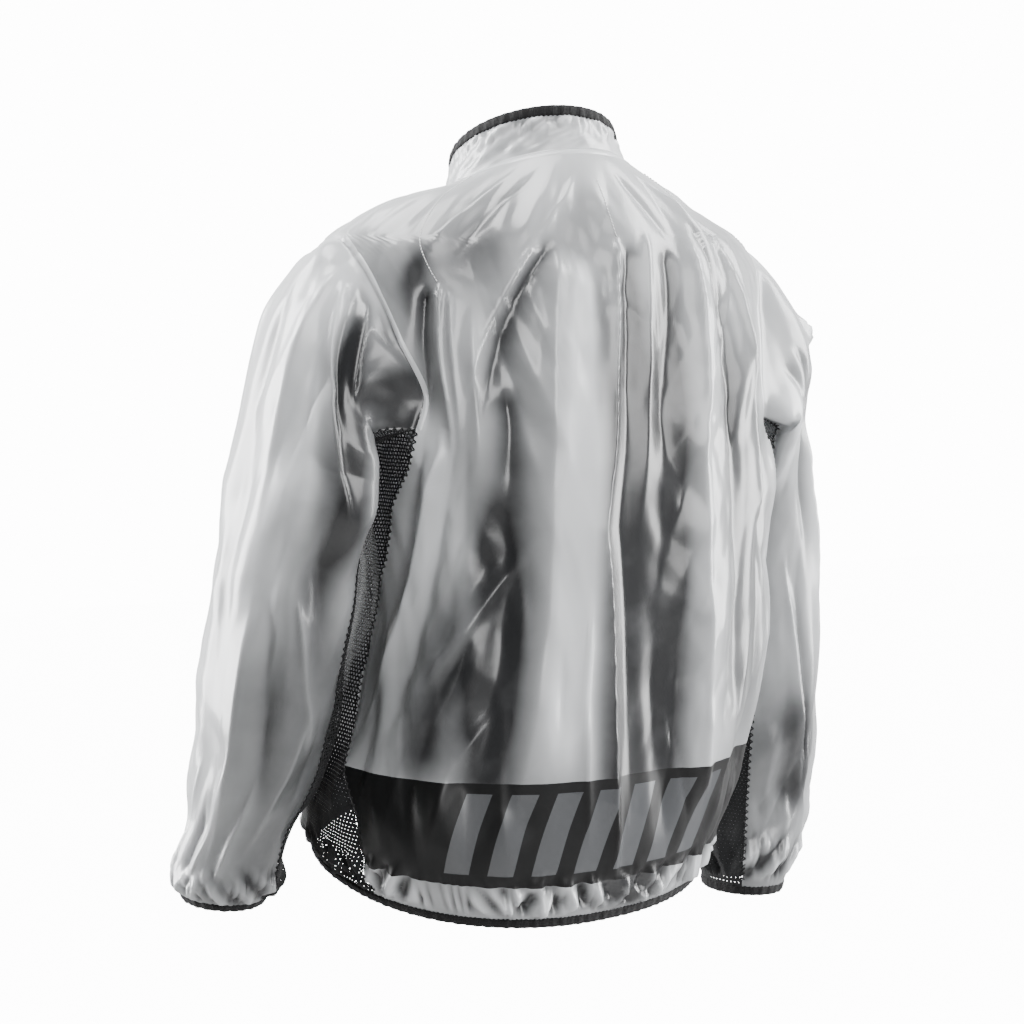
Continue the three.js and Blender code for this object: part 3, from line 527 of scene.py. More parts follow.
def arm(side, phi, along):
    """A sleeve with its folds, in the frame mirrored to the left side."""
    phi, along = spread(phi, along)
    wrapped = wrap(phi)
    height = fold_height(ARM_FOLDS[side], wrapped, along, 360)
    height = height + fold_height(ARM_CREASES[side], wrapped, along, 360)
    height = height + facets(wrapped * ARM_DEGREE_MM, along, 41 + side, (60, 120), 0.075)
    height = height + facets(wrapped * ARM_DEGREE_MM, along, 51 + side, (26, 60), 0.035)
    height = height * ease(along, 0, 16) * ease(along, SLEEVE_LENGTH - 10, SLEEVE_LENGTH - 50)
    for middle, half, swell in CUFF_SWELLS:
        height = height + swell * np.exp(-((along - middle) / half) ** 2)
    height = height + cuff_gathers(phi, along, 5.0)
    turned = normals(lambda p, a: arm_plain(side, p, a), phi, along, 1.0, 1.0, -1.0)
    return arm_plain(side, phi, along) + turned * height[..., None]


print("armhole is", round(float(np.ptp(LOOPS[1][:, 2]))), "mm high")

# %% [markdown]
# The collar is a short band that stands up from the neck seam. It slopes to the front and a
# little to one side, and its rim is drawn up by elastic like the hem.

# %% Collar
COLLAR = table("rise z tilt slant y wide deep", [
    (0, -24, 0.42, 0, 0, 86, 84),
    (16, -12, 0.43, 4, -1, 83, 82),
    (34, 1, 0.445, 9, -1, 80, 80),
    (50, 13, 0.46, 13, -1, 77, 78),
])
COLLAR_RISE = 50.0
COLLAR_RADIUS = 80.0             # at its rim, on average
COLLAR_DEGREE_MM = 1.4
DRAWN_IN = 0.0016                # share of its width for each mm of rise, on the right side


def neck_plain(theta, rise):
    theta, rise = spread(theta, rise)
    across = read(COLLAR, "wide", rise) * np.sin(np.radians(theta))
    across = np.where(across < 0, across * (1 - DRAWN_IN * rise), across)
    back = read(COLLAR, "deep", rise) * np.cos(np.radians(theta))
    slant = np.radians(read(COLLAR, "slant", rise))
    lift = read(COLLAR, "tilt", rise) * (back * np.cos(slant) + across * np.sin(slant))
    return np.stack([across, read(COLLAR, "y", rise) + back, read(COLLAR, "z", rise) + lift], -1)


def neck(theta, rise):
    theta, rise = spread(theta, rise)
    round_mm = theta * COLLAR_DEGREE_MM
    height = gathers(round_mm, COLLAR_RISE - rise, 8, 7.5, 2.6, 40.0)
    below_rim = ease(rise, 44, 36)
    height = height + 1.2 * below_rim * hash_wave(round_mm, rise * 3, 9, low=0.01, high=0.04)
    calm = smooth(rise / 12)
    turned = normals(neck_plain, theta, rise, sign=-1.0)
    return neck_plain(theta, rise) + turned * (height * calm)[..., None]


# %% [markdown]
# A panel becomes a mesh as a grid of points with a second map in real millimetres, across
# and down the cloth, so that prints, net and weave keep their true size. The sheet gets
# its thickness by a second layer a fraction of a millimetre further in.

# %% Mesh helpers
FILM_THICKNESS = 0.45            # about twice the real 0.2 mm, so that edges catch light
BODY_PART = "coat"


def make_object(name, points, faces, uv=None, values=None):
    """A mesh object from points in mm. uv is per point, values are named floats per point."""
    mesh = bpy.data.meshes.new(name)
    mesh.from_pydata((np.asarray(points) * MM).tolist(), [], [list(f) for f in faces])
    mesh.update()
    loops = np.empty(len(mesh.loops), np.int32)
    mesh.loops.foreach_get("vertex_index", loops)
    if uv is not None:
        layer = mesh.uv_layers.new(name="cloth_mm")
        layer.data.foreach_set("uv", np.asarray(uv)[loops].astype(np.float32).ravel())
    for key, numbers in (values or {}).items():
        attribute = mesh.attributes.new(key, "FLOAT", "POINT")
        attribute.data.foreach_set("value", np.asarray(numbers, np.float32))
    mesh.polygons.foreach_set("use_smooth", np.ones(len(mesh.polygons), bool))
    obj = bpy.data.objects.new(name, mesh)
    bpy.context.scene.collection.objects.link(obj)
    return obj


def grid_faces(high, wide, closed=False, start=0):
    columns = wide if closed else wide - 1
    r, c = np.meshgrid(np.arange(high - 1), np.arange(columns), indexing="ij")
    a = r * wide + c
    b = r * wide + (c + 1) % wide
    return np.stack([a, a + wide, b + wide, b], -1).reshape(-1, 4) + start


def outward(points):
    """Normals of a grid of points, by differences along both ways."""
    return unit(np.cross(np.gradient(points, axis=1), np.gradient(points, axis=0)))


def sheet_mesh(name, points, uv, values, sign, thickness=FILM_THICKNESS):
    """A thin shell: the outer grid, an inner one and the rim between them."""
    high, wide = points.shape[:2]
    inner = points - outward(points) * sign * thickness
    count = high * wide
    front = grid_faces(high, wide)
    back = grid_faces(high, wide, start=count)[:, ::-1]
    if sign < 0:
        front, back = front[:, ::-1], back[:, ::-1]
    edge = np.concatenate([
        np.arange(wide), np.arange(1, high) * wide + wide - 1,
        (high - 1) * wide + np.arange(wide - 2, -1, -1), np.arange(high - 2, 0, -1) * wide])
    after = np.roll(edge, -1)
    rim = np.stack([edge, after, after + count, edge + count], -1)
    if sign > 0:
        rim = rim[:, ::-1]
    faces = np.concatenate([front, back, rim])
    both = np.concatenate([points.reshape(-1, 3), inner.reshape(-1, 3)])
    doubled = {key: np.tile(np.ravel(v), 2) for key, v in values.items()}
    return make_object(name, both, faces, np.tile(uv.reshape(-1, 2), (2, 1)), doubled)


def finish_piece(obj, material, nodes=()):
    """What every piece needs: its material, its body, and the solids it stands for hidden."""
    obj.data.materials.clear()
    obj.data.materials.append(material)
    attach(obj, BODY_PART)
    if nodes:
        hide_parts(*nodes)
    return obj


def surface_area(obj):
    """Area of one face of a doubled sheet, in square metres."""
    return sum(p.area for p in obj.data.polygons) / 2


# %% [markdown]
# Colours are written as sRGB hex, as a colour picker shows them, and turned to the linear
# values that the renderer works in.

# %% Colour and node helpers


def colour(code):
    """Linear RGBA of an sRGB hex colour."""
    parts = [int(code[i:i + 2], 16) / 255 for i in (1, 3, 5)]
    return [p / 12.92 if p <= 0.04045 else ((p + 0.055) / 1.055) ** 2.4 for p in parts] + [1.0]


def add_node(tree, kind, settings=None, inputs=None, links=None):
    """Adds a node, sets its settings and inputs, and links other nodes' outputs to inputs."""
    node = tree.nodes.new(kind)
    for key, value in (settings or {}).items():
        setattr(node, key, value)
    for key, value in (inputs or {}).items():
        node.inputs[key].default_value = value
    for key, (other, output) in (links or {}).items():
        tree.links.new(other.outputs[output], node.inputs[key])
    return node


def feed(tree, kind, settings, values):
    """A node whose inputs are given as numbers, colours or (node, output) pairs alike."""
    pairs = {key: value for key, value in values.items() if isinstance(value, tuple)}
    plain = {key: value for key, value in values.items() if key not in pairs}
    return add_node(tree, kind, settings, plain, pairs)


def maths(tree, operation, *values, clamp=False):
    settings = {"operation": operation, "use_clamp": clamp}
    return feed(tree, "ShaderNodeMath", settings, dict(enumerate(values))), 0


def blend(tree, first, second, share):
    """A mix of two colours."""
    values = {0: share, 6: first, 7: second}
    return feed(tree, "ShaderNodeMix", {"data_type": "RGBA"}, values), 2


def bumps(tree, height, strength, distance):
    """Normals from a height: distance is its size in mm."""
    return add_node(tree, "ShaderNodeBump", None,
                    {"Strength": strength, "Distance": distance * MM}, {"Height": height}), 0


def new_material(name, surface_of):
    """A material from a function that takes the node tree and returns the surface."""
    material = bpy.data.materials.new(name)
    material.use_nodes = True
    tree = material.node_tree
    tree.nodes.clear()
    add_node(tree, "ShaderNodeOutputMaterial", links={"Surface": surface_of(tree)})
    return material


# %% [markdown]
# The film is soft polyurethane or PVC sheet, rolled between satin rollers. It is milky and
# lets a blurred glow through and reflects wide soft highlights. Light and shade are also
# painted into its colour: painted shade in the troughs and the middle of the back, painted
# light on the ridges, the shoulders and the outsides of the sleeves. This painted shading is
# stored on each point from the folds, so it stays put from every side.

# %% Film
FILM_PAINTED_LIGHT = "#cdcfd1"           # painted light: the milky film where the light falls full on it
FILM_PAINTED_SHADE = "#232426"           # painted shade: the film in troughs and in the shaded middle of the back
BAND_INK = "#070708"
MOTIF_GREY = "#484a4d"
BAND_TOP, BAND_BOTTOM = 547.0, 624.0
MOTIF_PITCH = 38.0
MOTIF_SHARE = 0.58               # how much of the pitch is bar
MOTIF_SLANT = 0.35
MOTIF_HALF_HEIGHT = 30.0
MOTIF_RANGE = (-70.0, 205.0)


def film_surface(tree, printed=False):
    cloth = add_node(tree, "ShaderNodeUVMap", {"uv_map": "cloth_mm"})
    painted_shade = add_node(tree, "ShaderNodeAttribute", {"attribute_name": "painted_shade"})
    cloud = add_node(tree, "ShaderNodeTexNoise", inputs={"Scale": 0.02, "Detail": 3.0},
                     links={"Vector": (cloth, "UV")})
    # painted shading: the stored painted shade, with a random cloud of real unevenness, mixes the
    # painted light and painted shade colours
    uneven = maths(tree, "MULTIPLY_ADD", (cloud, 0), 0.24, -0.12)
    painted_shading = maths(tree, "ADD", (painted_shade, "Fac"), uneven, clamp=True)
    base = blend(tree, colour(FILM_PAINTED_LIGHT), colour(FILM_PAINTED_SHADE), painted_shading)
    if printed:
        ink, bars = print_masks(tree, cloth)
        base = blend(tree, base, colour(MOTIF_GREY), bars)
    stretched = add_node(tree, "ShaderNodeMapping", inputs={"Scale": (1.0, 0.3, 1.0)},
                         links={"Vector": (cloth, "UV")})
    creases = add_node(tree, "ShaderNodeTexNoise", {"noise_type": "RIDGED_MULTIFRACTAL"},
                       {"Scale": 0.045, "Detail": 3.0, "Roughness": 0.5},
                       {"Vector": (stretched, 0)})
    bump = bumps(tree, (creases, 0), 0.5, 0.6)
    satin = add_node(tree, "ShaderNodeBsdfPrincipled",
                     inputs={"Roughness": 0.33, "IOR": 1.55, "Specular IOR Level": 0.7,
                             "Coat Weight": 0.4, "Coat Roughness": 0.15, "Alpha": 0.95},
                     links={"Base Color": base, "Normal": bump, "Coat Normal": bump})
    glow = add_node(tree, "ShaderNodeBsdfTranslucent", links={"Color": base, "Normal": bump})
    surface = add_node(tree, "ShaderNodeMixShader", inputs={0: 0.2},
                       links={1: (satin, 0), 2: (glow, 0)})
    if printed:
        inked = add_node(tree, "ShaderNodeBsdfPrincipled",
                         inputs={"Base Color": colour(BAND_INK), "Roughness": 0.4,
                                 "IOR": 1.5, "Specular IOR Level": 0.38},
                         links={"Normal": bump})
        surface = add_node(tree, "ShaderNodeMixShader",
                           links={0: ink, 1: (surface, 0), 2: (inked, 0)})
    return surface, 0


def print_masks(tree, cloth):
    """Where the dark ink lies, and where a plain row of slanted bars is left in film grey."""
    split = add_node(tree, "ShaderNodeSeparateXYZ", links={"Vector": (cloth, "UV")})
    down, across = (split, "Y"), (split, "X")
    inside = maths(tree, "MULTIPLY", maths(tree, "GREATER_THAN", down, BAND_TOP),
                   maths(tree, "LESS_THAN", down, BAND_BOTTOM))
    lean = maths(tree, "MULTIPLY", down, MOTIF_SLANT)
    upright = maths(tree, "SUBTRACT", across, lean)
    repeat = maths(tree, "FRACT", maths(tree, "DIVIDE", upright, MOTIF_PITCH))
    bars = maths(tree, "LESS_THAN", repeat, MOTIF_SHARE)
    middle = (BAND_TOP + BAND_BOTTOM) / 2
    away = maths(tree, "ABSOLUTE", maths(tree, "SUBTRACT", down, middle))
    bars = maths(tree, "MULTIPLY", bars, maths(tree, "LESS_THAN", away, MOTIF_HALF_HEIGHT))
    start = MOTIF_PITCH * math.floor((MOTIF_RANGE[0] - middle * MOTIF_SLANT) / MOTIF_PITCH)
    stop = start + MOTIF_PITCH * round((MOTIF_RANGE[1] - MOTIF_RANGE[0]) / MOTIF_PITCH)
    held = maths(tree, "MULTIPLY", maths(tree, "GREATER_THAN", upright, start),
                 maths(tree, "LESS_THAN", upright, stop))
    bars = maths(tree, "MULTIPLY", bars, held)
    ink = maths(tree, "MULTIPLY", inside, maths(tree, "SUBTRACT", 1.0, bars))
    return ink, bars


FILM = new_material("milky_film", film_surface)
FILM_PRINTED = new_material("milky_film_with_printed_band",
                            lambda tree: film_surface(tree, printed=True))
print("band is", BAND_BOTTOM - BAND_TOP, "mm high")

# %% [markdown]
# The net is a knitted polyester mesh, the elastic a ribbed band folded over the edge, the
# zip a woven tape with moulded teeth. All are matt black, and differ in grain and sheen.

# %% Black cloths and zip plastic
NET_BLACK = "#0d0e0f"
ELASTIC_BLACK = "#09090a"
TAPE_BLACK = "#0f1011"
ZIP_BLACK = "#141517"
THREAD_PALE = "#c4c6c8"


def cloth_material(name, code, roughness, sheen, rib, strength):
    """A matt cloth. rib is the spacing in mm of its ribs or threads along the piece."""
    def surface(tree):
        cloth = add_node(tree, "ShaderNodeUVMap", {"uv_map": "cloth_mm"})
        ribs = add_node(tree, "ShaderNodeTexWave", {"wave_type": "BANDS"},
                        {"Scale": 0.314 / rib, "Distortion": 1.2, "Detail": 2.0},
                        {"Vector": (cloth, "UV")})
        fuzz = add_node(tree, "ShaderNodeTexNoise", inputs={"Scale": 1.4, "Detail": 3.0},
                        links={"Vector": (cloth, "UV")})
        bump = bumps(tree, maths(tree, "ADD", (ribs, 0), (fuzz, 0)), strength, 0.4)
        lighter = [min(1.0, v * 2.6 + 0.004) for v in colour(code)[:3]] + [1.0]
        shader = add_node(tree, "ShaderNodeBsdfPrincipled",
                          inputs={"Roughness": roughness, "Specular IOR Level": 0.25,
                                  "Sheen Weight": sheen, "Sheen Roughness": 0.5},
                          links={"Base Color": blend(tree, colour(code), lighter, (fuzz, 0)),
                                 "Normal": bump})
        return shader, 0

    return new_material(name, surface)


NET = cloth_material("knitted_polyester_net", NET_BLACK, 0.75, 0.04, 0.6, 0.4)
ELASTIC = cloth_material("ribbed_folding_elastic", ELASTIC_BLACK, 0.85, 0.06, 1.4, 0.8)
TAPE = cloth_material("woven_zip_tape", TAPE_BLACK, 0.8, 0.05, 0.9, 0.6)
THREAD = cloth_material("sewing_thread_pale", THREAD_PALE, 0.6, 0.2, 0.4, 0.4)
THREAD_DARK = cloth_material("sewing_thread_black", NET_BLACK, 0.7, 0.05, 0.4, 0.4)


def moulded_plastic(tree):
    """Acetal, moulded: fine grain from the mould, satin all over."""
    place = add_node(tree, "ShaderNodeTexCoord")
    grain = add_node(tree, "ShaderNodeTexNoise", inputs={"Scale": 1800.0, "Detail": 2.0},
                     links={"Vector": (place, "Object")})
    shader = add_node(tree, "ShaderNodeBsdfPrincipled",
                      inputs={"Base Color": colour(ZIP_BLACK), "Roughness": 0.38, "IOR": 1.48},
                      links={"Normal": bumps(tree, (grain, 0), 0.12, 0.1)})
    return shader, 0


ZIP_PLASTIC = new_material("moulded_acetal_zip", moulded_plastic)

# %% [markdown]
# How much painted shade the film gets is told by the folds themselves, with painted shade
# in a trough and painted light on a ridge, and by a few patches that paint more shade or
# light than the folds give.

# %% Painted light and shade of the film
BACK_PAINTED_SHADE = 0.5                 # painted shade on the plain film, from 0, painted light, to 1, painted shade
# painted shade on the plain sleeves: more on the left one than on the right
LEFT_ARM_PAINTED_SHADE = 0.78
RIGHT_ARM_PAINTED_SHADE = 0.42
FOLD_PAINTED_LIGHT = 0.02               # painted light on a fold's ridge for each mm of height, painted shade in its trough
ARM_FOLD_PAINTED_LIGHT = 0.03
PAINTED_SHADING_PATCHES = [                # rows as for folds, with painted shade in place of height; below 0 they paint light
    (13.5, 62, 24, 122, 42, 250, 4.5, 5, 0.3, 2.0, 20, 60),
    (30, 190, 34, 330, 36, 590, 9, 7, 0.26, 2.4, 24, 140),
    (54, 360, 56, 460, 58, 570, 10, 9, 0.42, 2.4, 70, 50),
    (-6, 70, 3, 330, -2, 655, 4.4, 8, 0.34, 2.4, 16, 20),
    (-18.5, 66, -11, 230, -9, 655, 8, 9, 0.34, 2.4, 16, 20),
    (-31, 54, -32, 174, -36, 330, 4, 4, 0.2, 2.2, 16, 90),
    (49, 60, 52, 150, 57, 245, 6, 6, 0.35, 2.2, 40, 40),
    (52, 170, 60, 300, 74, 470, 12, 9, -0.24, 2.4, 60, 70),
    (2, 24, 6, 60, 10, 120, 9, 9, 0.2, 2.2, 20, 60),
    (6, 80, 16, 320, 19, 560, 7, 5, -0.6, 3.0, 40, 70),
    (2, 160, 3, 420, 1, 655, 7.5, 9, 0.5, 5.0, 100, 20),
    (-9, 230, -9, 420, -9, 655, 6, 6, 0.4, 2.6, 120, 20),
    (40, 270, 40, 430, 36, 600, 9, 8, 0.42, 3.0, 80, 60),
    (34, 6, 34, 60, 44, 150, 30, 13, 0.3, 2.2, 30, 70),
    (-4, 90, -6, 180, -7, 280, 8, 8, 0.25, 2.4, 30, 50),
    (3, 90, 5, 200, 5, 350, 4.5, 4.5, 0.3, 2.4, 30, 90),
    (-13, 100, -13, 220, -11, 430, 6, 6, 0.35, 2.4, 40, 90),
    (80, 330, 80, 420, 76, 560, 10, 9, 0.2, 2.4, 60, 50),
    (56, 110, 54, 230, 54, 400, 7, 7, -0.25, 2.4, 50, 70),
    (60, 200, 68, 320, 74, 420, 10, 14, -0.2, 2.4, 60, 90),
    (-40, 130, -40, 340, -40, 560, 12, 12, 0.24, 2.4, 60, 90),
    (-26, 90, -23, 270, -28, 620, 5, 8, -0.16, 2.2, 60, 60),
    (150, 200, 150, 360, 150, 560, 9, 9, 0.3, 2.4, 90, 90),
    (-150, 200, -150, 360, -150, 560, 9, 9, 0.3, 2.4, 90, 90),
]


def body_painted_shading(theta, drop):
    """Painted shading: 0 is painted light and 1 painted shade, darkest in the middle of the back.
    """
    height = fold_height(BODY_FOLDS, theta, drop)
    patches = fold_height(PAINTED_SHADING_PATCHES, theta, drop)
    # painted light on top of the shoulders, below the band and towards the sides
    shoulder_painted_light = ease(drop - 0.25 * np.abs(theta), 70, 10)
    below_band_painted_light = ease(drop, BAND_BOTTOM, BAND_BOTTOM + 12)
    side = ease(np.abs(theta), 40, 80)
    plain = BACK_PAINTED_SHADE - 0.2 * shoulder_painted_light - 0.1 * below_band_painted_light - 0.14 * side
    # gather ridges get painted light and their hollows painted shade
    ripple_painted_shading = hem_gathers(theta, drop, 1.0)
    return np.clip(plain - height * FOLD_PAINTED_LIGHT + patches - 1.1 * ripple_painted_shading, 0.0, 1.0)


# patches of painted shade on the sleeves, and of painted light where below 0
ARM_PAINTED_SHADING_PATCHES = {
    1: [
        (50, 0, 92, 130, 104, 330, 18, 13, 0.6, 2.4, 30, 60),
        (44, 90, 60, 190, 74, 330, 10, 10, -0.45, 2.4, 50, 70),
        (28, 130, 36, 230, 52, 350, 10, 12, -0.3, 2.4, 60, 80),
    ],
    -1: [
        (92, 440, 80, 500, 66, 600, 22, 26, 0.4, 2.4, 50, 40),
        (52, 120, 52, 230, 50, 420, 12, 12, -0.3, 2.4, 50, 90),
    ],
}


def arm_painted_shading(side, phi, along):
    """Painted shading of a sleeve: painted light on the outside of the arm, painted shade towards
    the net.
    """
    wrapped = wrap(phi)
    # the left sleeve's lower back and the part under its bag, and the right one near the cuff, get
    # more painted shade
    if side > 0:
        outer = ease(np.abs(wrapped), 84, 50)
        plain = LEFT_ARM_PAINTED_SHADE - 0.7 * outer
        plain = plain + 0.5 * outer * ease(along, 330, 440) * ease(wrapped, 5, 45)
        plain = plain + 0.25 * ease(wrapped, 88, 100) * ease(along, 360, 300)
    else:
        outer = ease(np.abs(wrapped), 70, 10)
        plain = RIGHT_ARM_PAINTED_SHADE - 0.36 * outer + 0.25 * ease(along, 420, 510)
    plain = plain + fold_height(ARM_PAINTED_SHADING_PATCHES[side], wrapped, along, 360)
    folds = fold_height(ARM_FOLDS[side], wrapped, along, 360)
    ripple_painted_shading = cuff_gathers(phi, along, 1.0)
    return np.clip(plain - folds * ARM_FOLD_PAINTED_LIGHT - 0.7 * ripple_painted_shading, 0.0, 1.0)


# %% [markdown]
# The back is one piece from armhole to armhole. It is cut wider than the body, and three
# stitched tucks at the shoulders hold the extra width, which opens below them.

# %% Net edges and the back
NET_EDGE = table("drop back front", [
    (238, 59.5, 120.5), (270, 64, 119), (310, 75, 119), (355, 80.5, 121), (400, 87, 123),
    (450, 91.5, 125), (500, 90.5, 126), (550, 85, 126), (582, 78, 126), (620, 76, 126),
    (662, 75, 126),
])


def side_edge(drop, which):
    """theta of the edge of the back or a front, beside the sleeve and net on the left."""
    theta = np.interp(drop, ARMHOLE["drop"], ARMHOLE["theta"])
    if which == "front":
        theta = 180 - theta
    theta = np.where(drop < ARMHOLE["drop"][0], 90.0, theta)
    return np.where(drop > ARMHOLE["drop"][-1], read(NET_EDGE, which, drop), theta)


def panel_drops(count):
    """Rows packed a little closer towards the shoulder and the gathered hem."""
    s = np.linspace(0, 1, count)
    eased = s - 0.05 * np.sin(2 * math.pi * s)
    marks = np.concatenate([[0.0], ARMHOLE["drop"], [HEM_DROP]])
    drops = eased * HEM_DROP
    for mark in marks:
        drops[np.argmin(np.abs(drops - mark))] = mark
    return np.sort(drops)


def body_panel(name, left, right, drops, columns, material, nodes):
    """left and right give theta for each drop."""
    share = np.linspace(0, 1, columns)
    theta = left[:, None] + (right - left)[:, None] * share
    drop = np.repeat(drops[:, None], columns, 1)
    uv = np.stack([theta * DEGREE_MM, drop], -1)
    obj = sheet_mesh(name, skin(theta, drop), uv, {"painted_shade": body_painted_shading(theta, drop)}, 1.0)
    return finish_piece(obj, material, nodes)


drops = panel_drops(190)
edge = side_edge(drops, "back")
back = body_panel("back_film", -edge, edge, drops, 236, FILM_PRINTED, ["back"])
print("back:", round(surface_area(back), 3), "square metres,", len(back.data.polygons), "faces")

# %% [markdown]
# The fronts are seen only from the other side. They run from the side net to the zip.

# %% Fronts


def beside_front(drop, distance):
    """theta at a distance in mm from the centre front, on the left side."""
    step = np.linalg.norm(ring(179.5, drop) - ring(180.0, drop), axis=-1) / 0.5
    return 180 - distance / step


front_drops = panel_drops(150)
for side, word in SIDES:
    outer = side * side_edge(front_drops, "front")
    inner = side * beside_front(front_drops, TAPE_WIDTH)
    start, stop = (outer, inner) if side > 0 else (inner, outer)
    body_panel(f"front_film_{word}", start, stop, front_drops, 84, FILM,
                              [f"front_{word}"])

# %% [markdown]
# The sleeves wrap from the net's back edge over the outside of the arm to its front edge.

# %% Sleeve films
ALONG = np.sort(np.concatenate([np.linspace(0, 560, 120), np.linspace(564, SLEEVE_LENGTH, 48)]))


RIGHT_DROOP = 10.0               # degrees by which the right film hangs over its net, high up


def film_edge(side, along):
    """Angle where a sleeve's film ends at the back."""
    droop = RIGHT_DROOP if side < 0 else 0.0
    return NET_PHI + droop * ease(along, 250, 110)


def arm_patch(side, shares, alongs):
    along, share = np.meshgrid(alongs, shares, indexing="ij")
    phi = np.where(share > 0, share * film_edge(side, along), share * NET_PHI)
    points = arm(side, phi, along) * (side, 1, 1)
    return points, phi, along


sleeves = {}
for side, word in SIDES:
    points, phi, along = arm_patch(side, np.linspace(-1, 1, 150), ALONG)
    uv = np.stack([phi * 1.15, along], -1)
    painted_shading = arm_painted_shading(side, phi, along)
    sleeves[side] = sheet_mesh(f"sleeve_film_{word}", points, uv, {"painted_shade": painted_shading}, -float(side))
    finish_piece(sleeves[side], FILM, [f"sleeve_{word}"])
    print("sleeve", word, round(surface_area(sleeves[side]), 3), "square metres")

# %% [markdown]
# The collar's film stands between the neck seam and its elastic rim.

# %% Collar film
rises = np.linspace(0, COLLAR_RISE, 26)
collar_end = 180 - TAPE_WIDTH / (math.radians(1) * COLLAR_RADIUS)
collar_theta, collar_rise = np.meshgrid(np.linspace(-collar_end, collar_end, 300), rises)
collar_points = neck(collar_theta, collar_rise)
collar_uv = np.stack([collar_theta * COLLAR_DEGREE_MM, -collar_rise], -1)
# the collar gets little painted shade, so it shows mostly painted light, with a random mottle
collar_painted_shading = np.clip(0.2 + 0.1 * hash_wave(collar_theta, collar_rise * 2, 4), 0, 1)
collar = sheet_mesh("collar_film", collar_points, collar_uv, {"painted_shade": collar_painted_shading}, -1.0)
finish_piece(collar, FILM, ["collar"])
print("collar", round(surface_area(collar), 3), "square metres")

# %% [markdown]
# The net is real: a honeycomb of cells, each a ring of six small faces round a hole. Cells
# that reach past the panel's edge are squeezed onto it, as a cut net is by its seam.

# %% Net
NET_PITCH = 3.9                  # hole to hole; the real one is about 3.6 mm
NET_HOLE = 0.52                  # hole's share of the cell's width
NET_DEGREE_MM = {1: 2.9, -1: 3.1}                   # cloth per degree on the left and right


def honeycomb(width_at, length, top=0.0):
    """Cells over a strip that is width_at(t) mm wide at t mm down. Returns s, t and faces."""
    row_step = NET_PITCH * math.sqrt(3) / 2
    corner = np.radians(np.arange(6) * 60 + 30)
    radius = NET_PITCH / math.sqrt(3)
    centres = []
    for row in range(int((length - top) / row_step) + 1):
        t = top + row * row_step
        half = width_at(t) / 2
        first = -math.floor(half / NET_PITCH) * NET_PITCH - NET_PITCH
        s = np.arange(first, half + NET_PITCH, NET_PITCH) + (row % 2) * NET_PITCH / 2
        s = s[np.abs(s) < half + 0.2 * NET_PITCH]
        centres.append(np.stack([s, np.full_like(s, t)], -1))
    centres = np.concatenate(centres)
    ring_points = np.stack([np.cos(corner), np.sin(corner)], -1) * radius
    outer = centres[:, None] + ring_points * 1.02
    # the elastic draws the net together, which closes its holes
    drawn = 1 - 0.75 * ease(centres[:, 1], length - 180, length - 70)
    inner = centres[:, None] + ring_points * NET_HOLE * drawn[:, None, None]
    points = np.concatenate([outer, inner], 1).reshape(-1, 2)
    k = np.arange(6)
    after = (k + 1) % 6
    cell = np.stack([k, after, after + 6, k + 6], -1)
    faces = (cell[None] + (np.arange(len(centres)) * 12)[:, None, None]).reshape(-1, 4)
    points[:, 1] = np.clip(points[:, 1], top, length)
    half = width_at(points[:, 1]) / 2
    points[:, 0] = np.clip(points[:, 0], -half, half)
    return points, faces


def side_net(side, word):
    """The panel from the underarm to the hem."""
    def edges(t):
        t = np.maximum(t, FILM_END_DROP)
        return read(NET_EDGE, "back", t), read(NET_EDGE, "front", t)

    def width(t):
        near, far = edges(t)
        return (far - near) * NET_DEGREE_MM[side]

    points, faces = honeycomb(width, HEM_DROP, FILM_END_DROP)
    near, far = edges(points[:, 1])
    theta = (far + near) / 2 + points[:, 0] / NET_DEGREE_MM[side]
    # the top row follows the underarm curve
    near, far = NET_EDGE["back"][0], NET_EDGE["front"][0]
    share = np.clip((theta - near) / (far - near), 0, 1)
    top = FILM_END_DROP + (UNDERARM_DROP - FILM_END_DROP) * np.sin(math.pi * share)
    drop = np.maximum(points[:, 1], top)
    obj = make_object(f"side_net_cloth_{word}", skin(side * theta, drop), faces, points)
    return finish_piece(obj, NET, [f"side_net_{word}"])


def sleeve_net(side, word):
    """The strip under the arm, from the armhole to the cuff."""
    spread = 360 - 2 * NET_PHI

    def round_mm(t):
        rows = ARMS[side]
        wide = np.hypot(read(rows, "outX", t) - read(rows, "inX", t),
                        read(rows, "outZ", t) - read(rows, "inZ", t)) / 2
        return (wide + read(rows, "deep", t)) / 2 * math.radians(1)

    points, faces = honeycomb(lambda t: spread * round_mm(t), SLEEVE_LENGTH)
    phi = 180 + points[:, 0] / round_mm(points[:, 1])
    squeeze = (180 - film_edge(side, points[:, 1])) / (180 - NET_PHI)
    phi = np.where(phi < 180, 180 - (180 - phi) * squeeze, phi)
    obj = make_object(f"sleeve_net_cloth_{word}", arm(side, phi, points[:, 1]) * (side, 1, 1),
                      faces, points)
    return finish_piece(obj, NET, [f"sleeve_net_{word}"])


nets = {}
for side, word in SIDES:
    nets["side", side] = side_net(side, word)
    nets["sleeve", side] = sleeve_net(side, word)
    print("net", word, len(nets["side", side].data.polygons) // 6, "and",
          len(nets["sleeve", side].data.polygons) // 6, "holes")

# %% [markdown]
# The bindings are strips of soft ribbed elastic folded over the raw edge and sewn through
# with a zigzag. They pull the film into gathers and are themselves a little scalloped.

# %% Bindings
BINDING_HEIGHT = 10.0
BINDING_THICK = 4.2
BINDING_SIDES = 12
BINDING_IN = 3.0                 # how far its middle lies in from the cloth's edge
BINDING_SUNK = 0.3               # how far it lies in towards the wearer


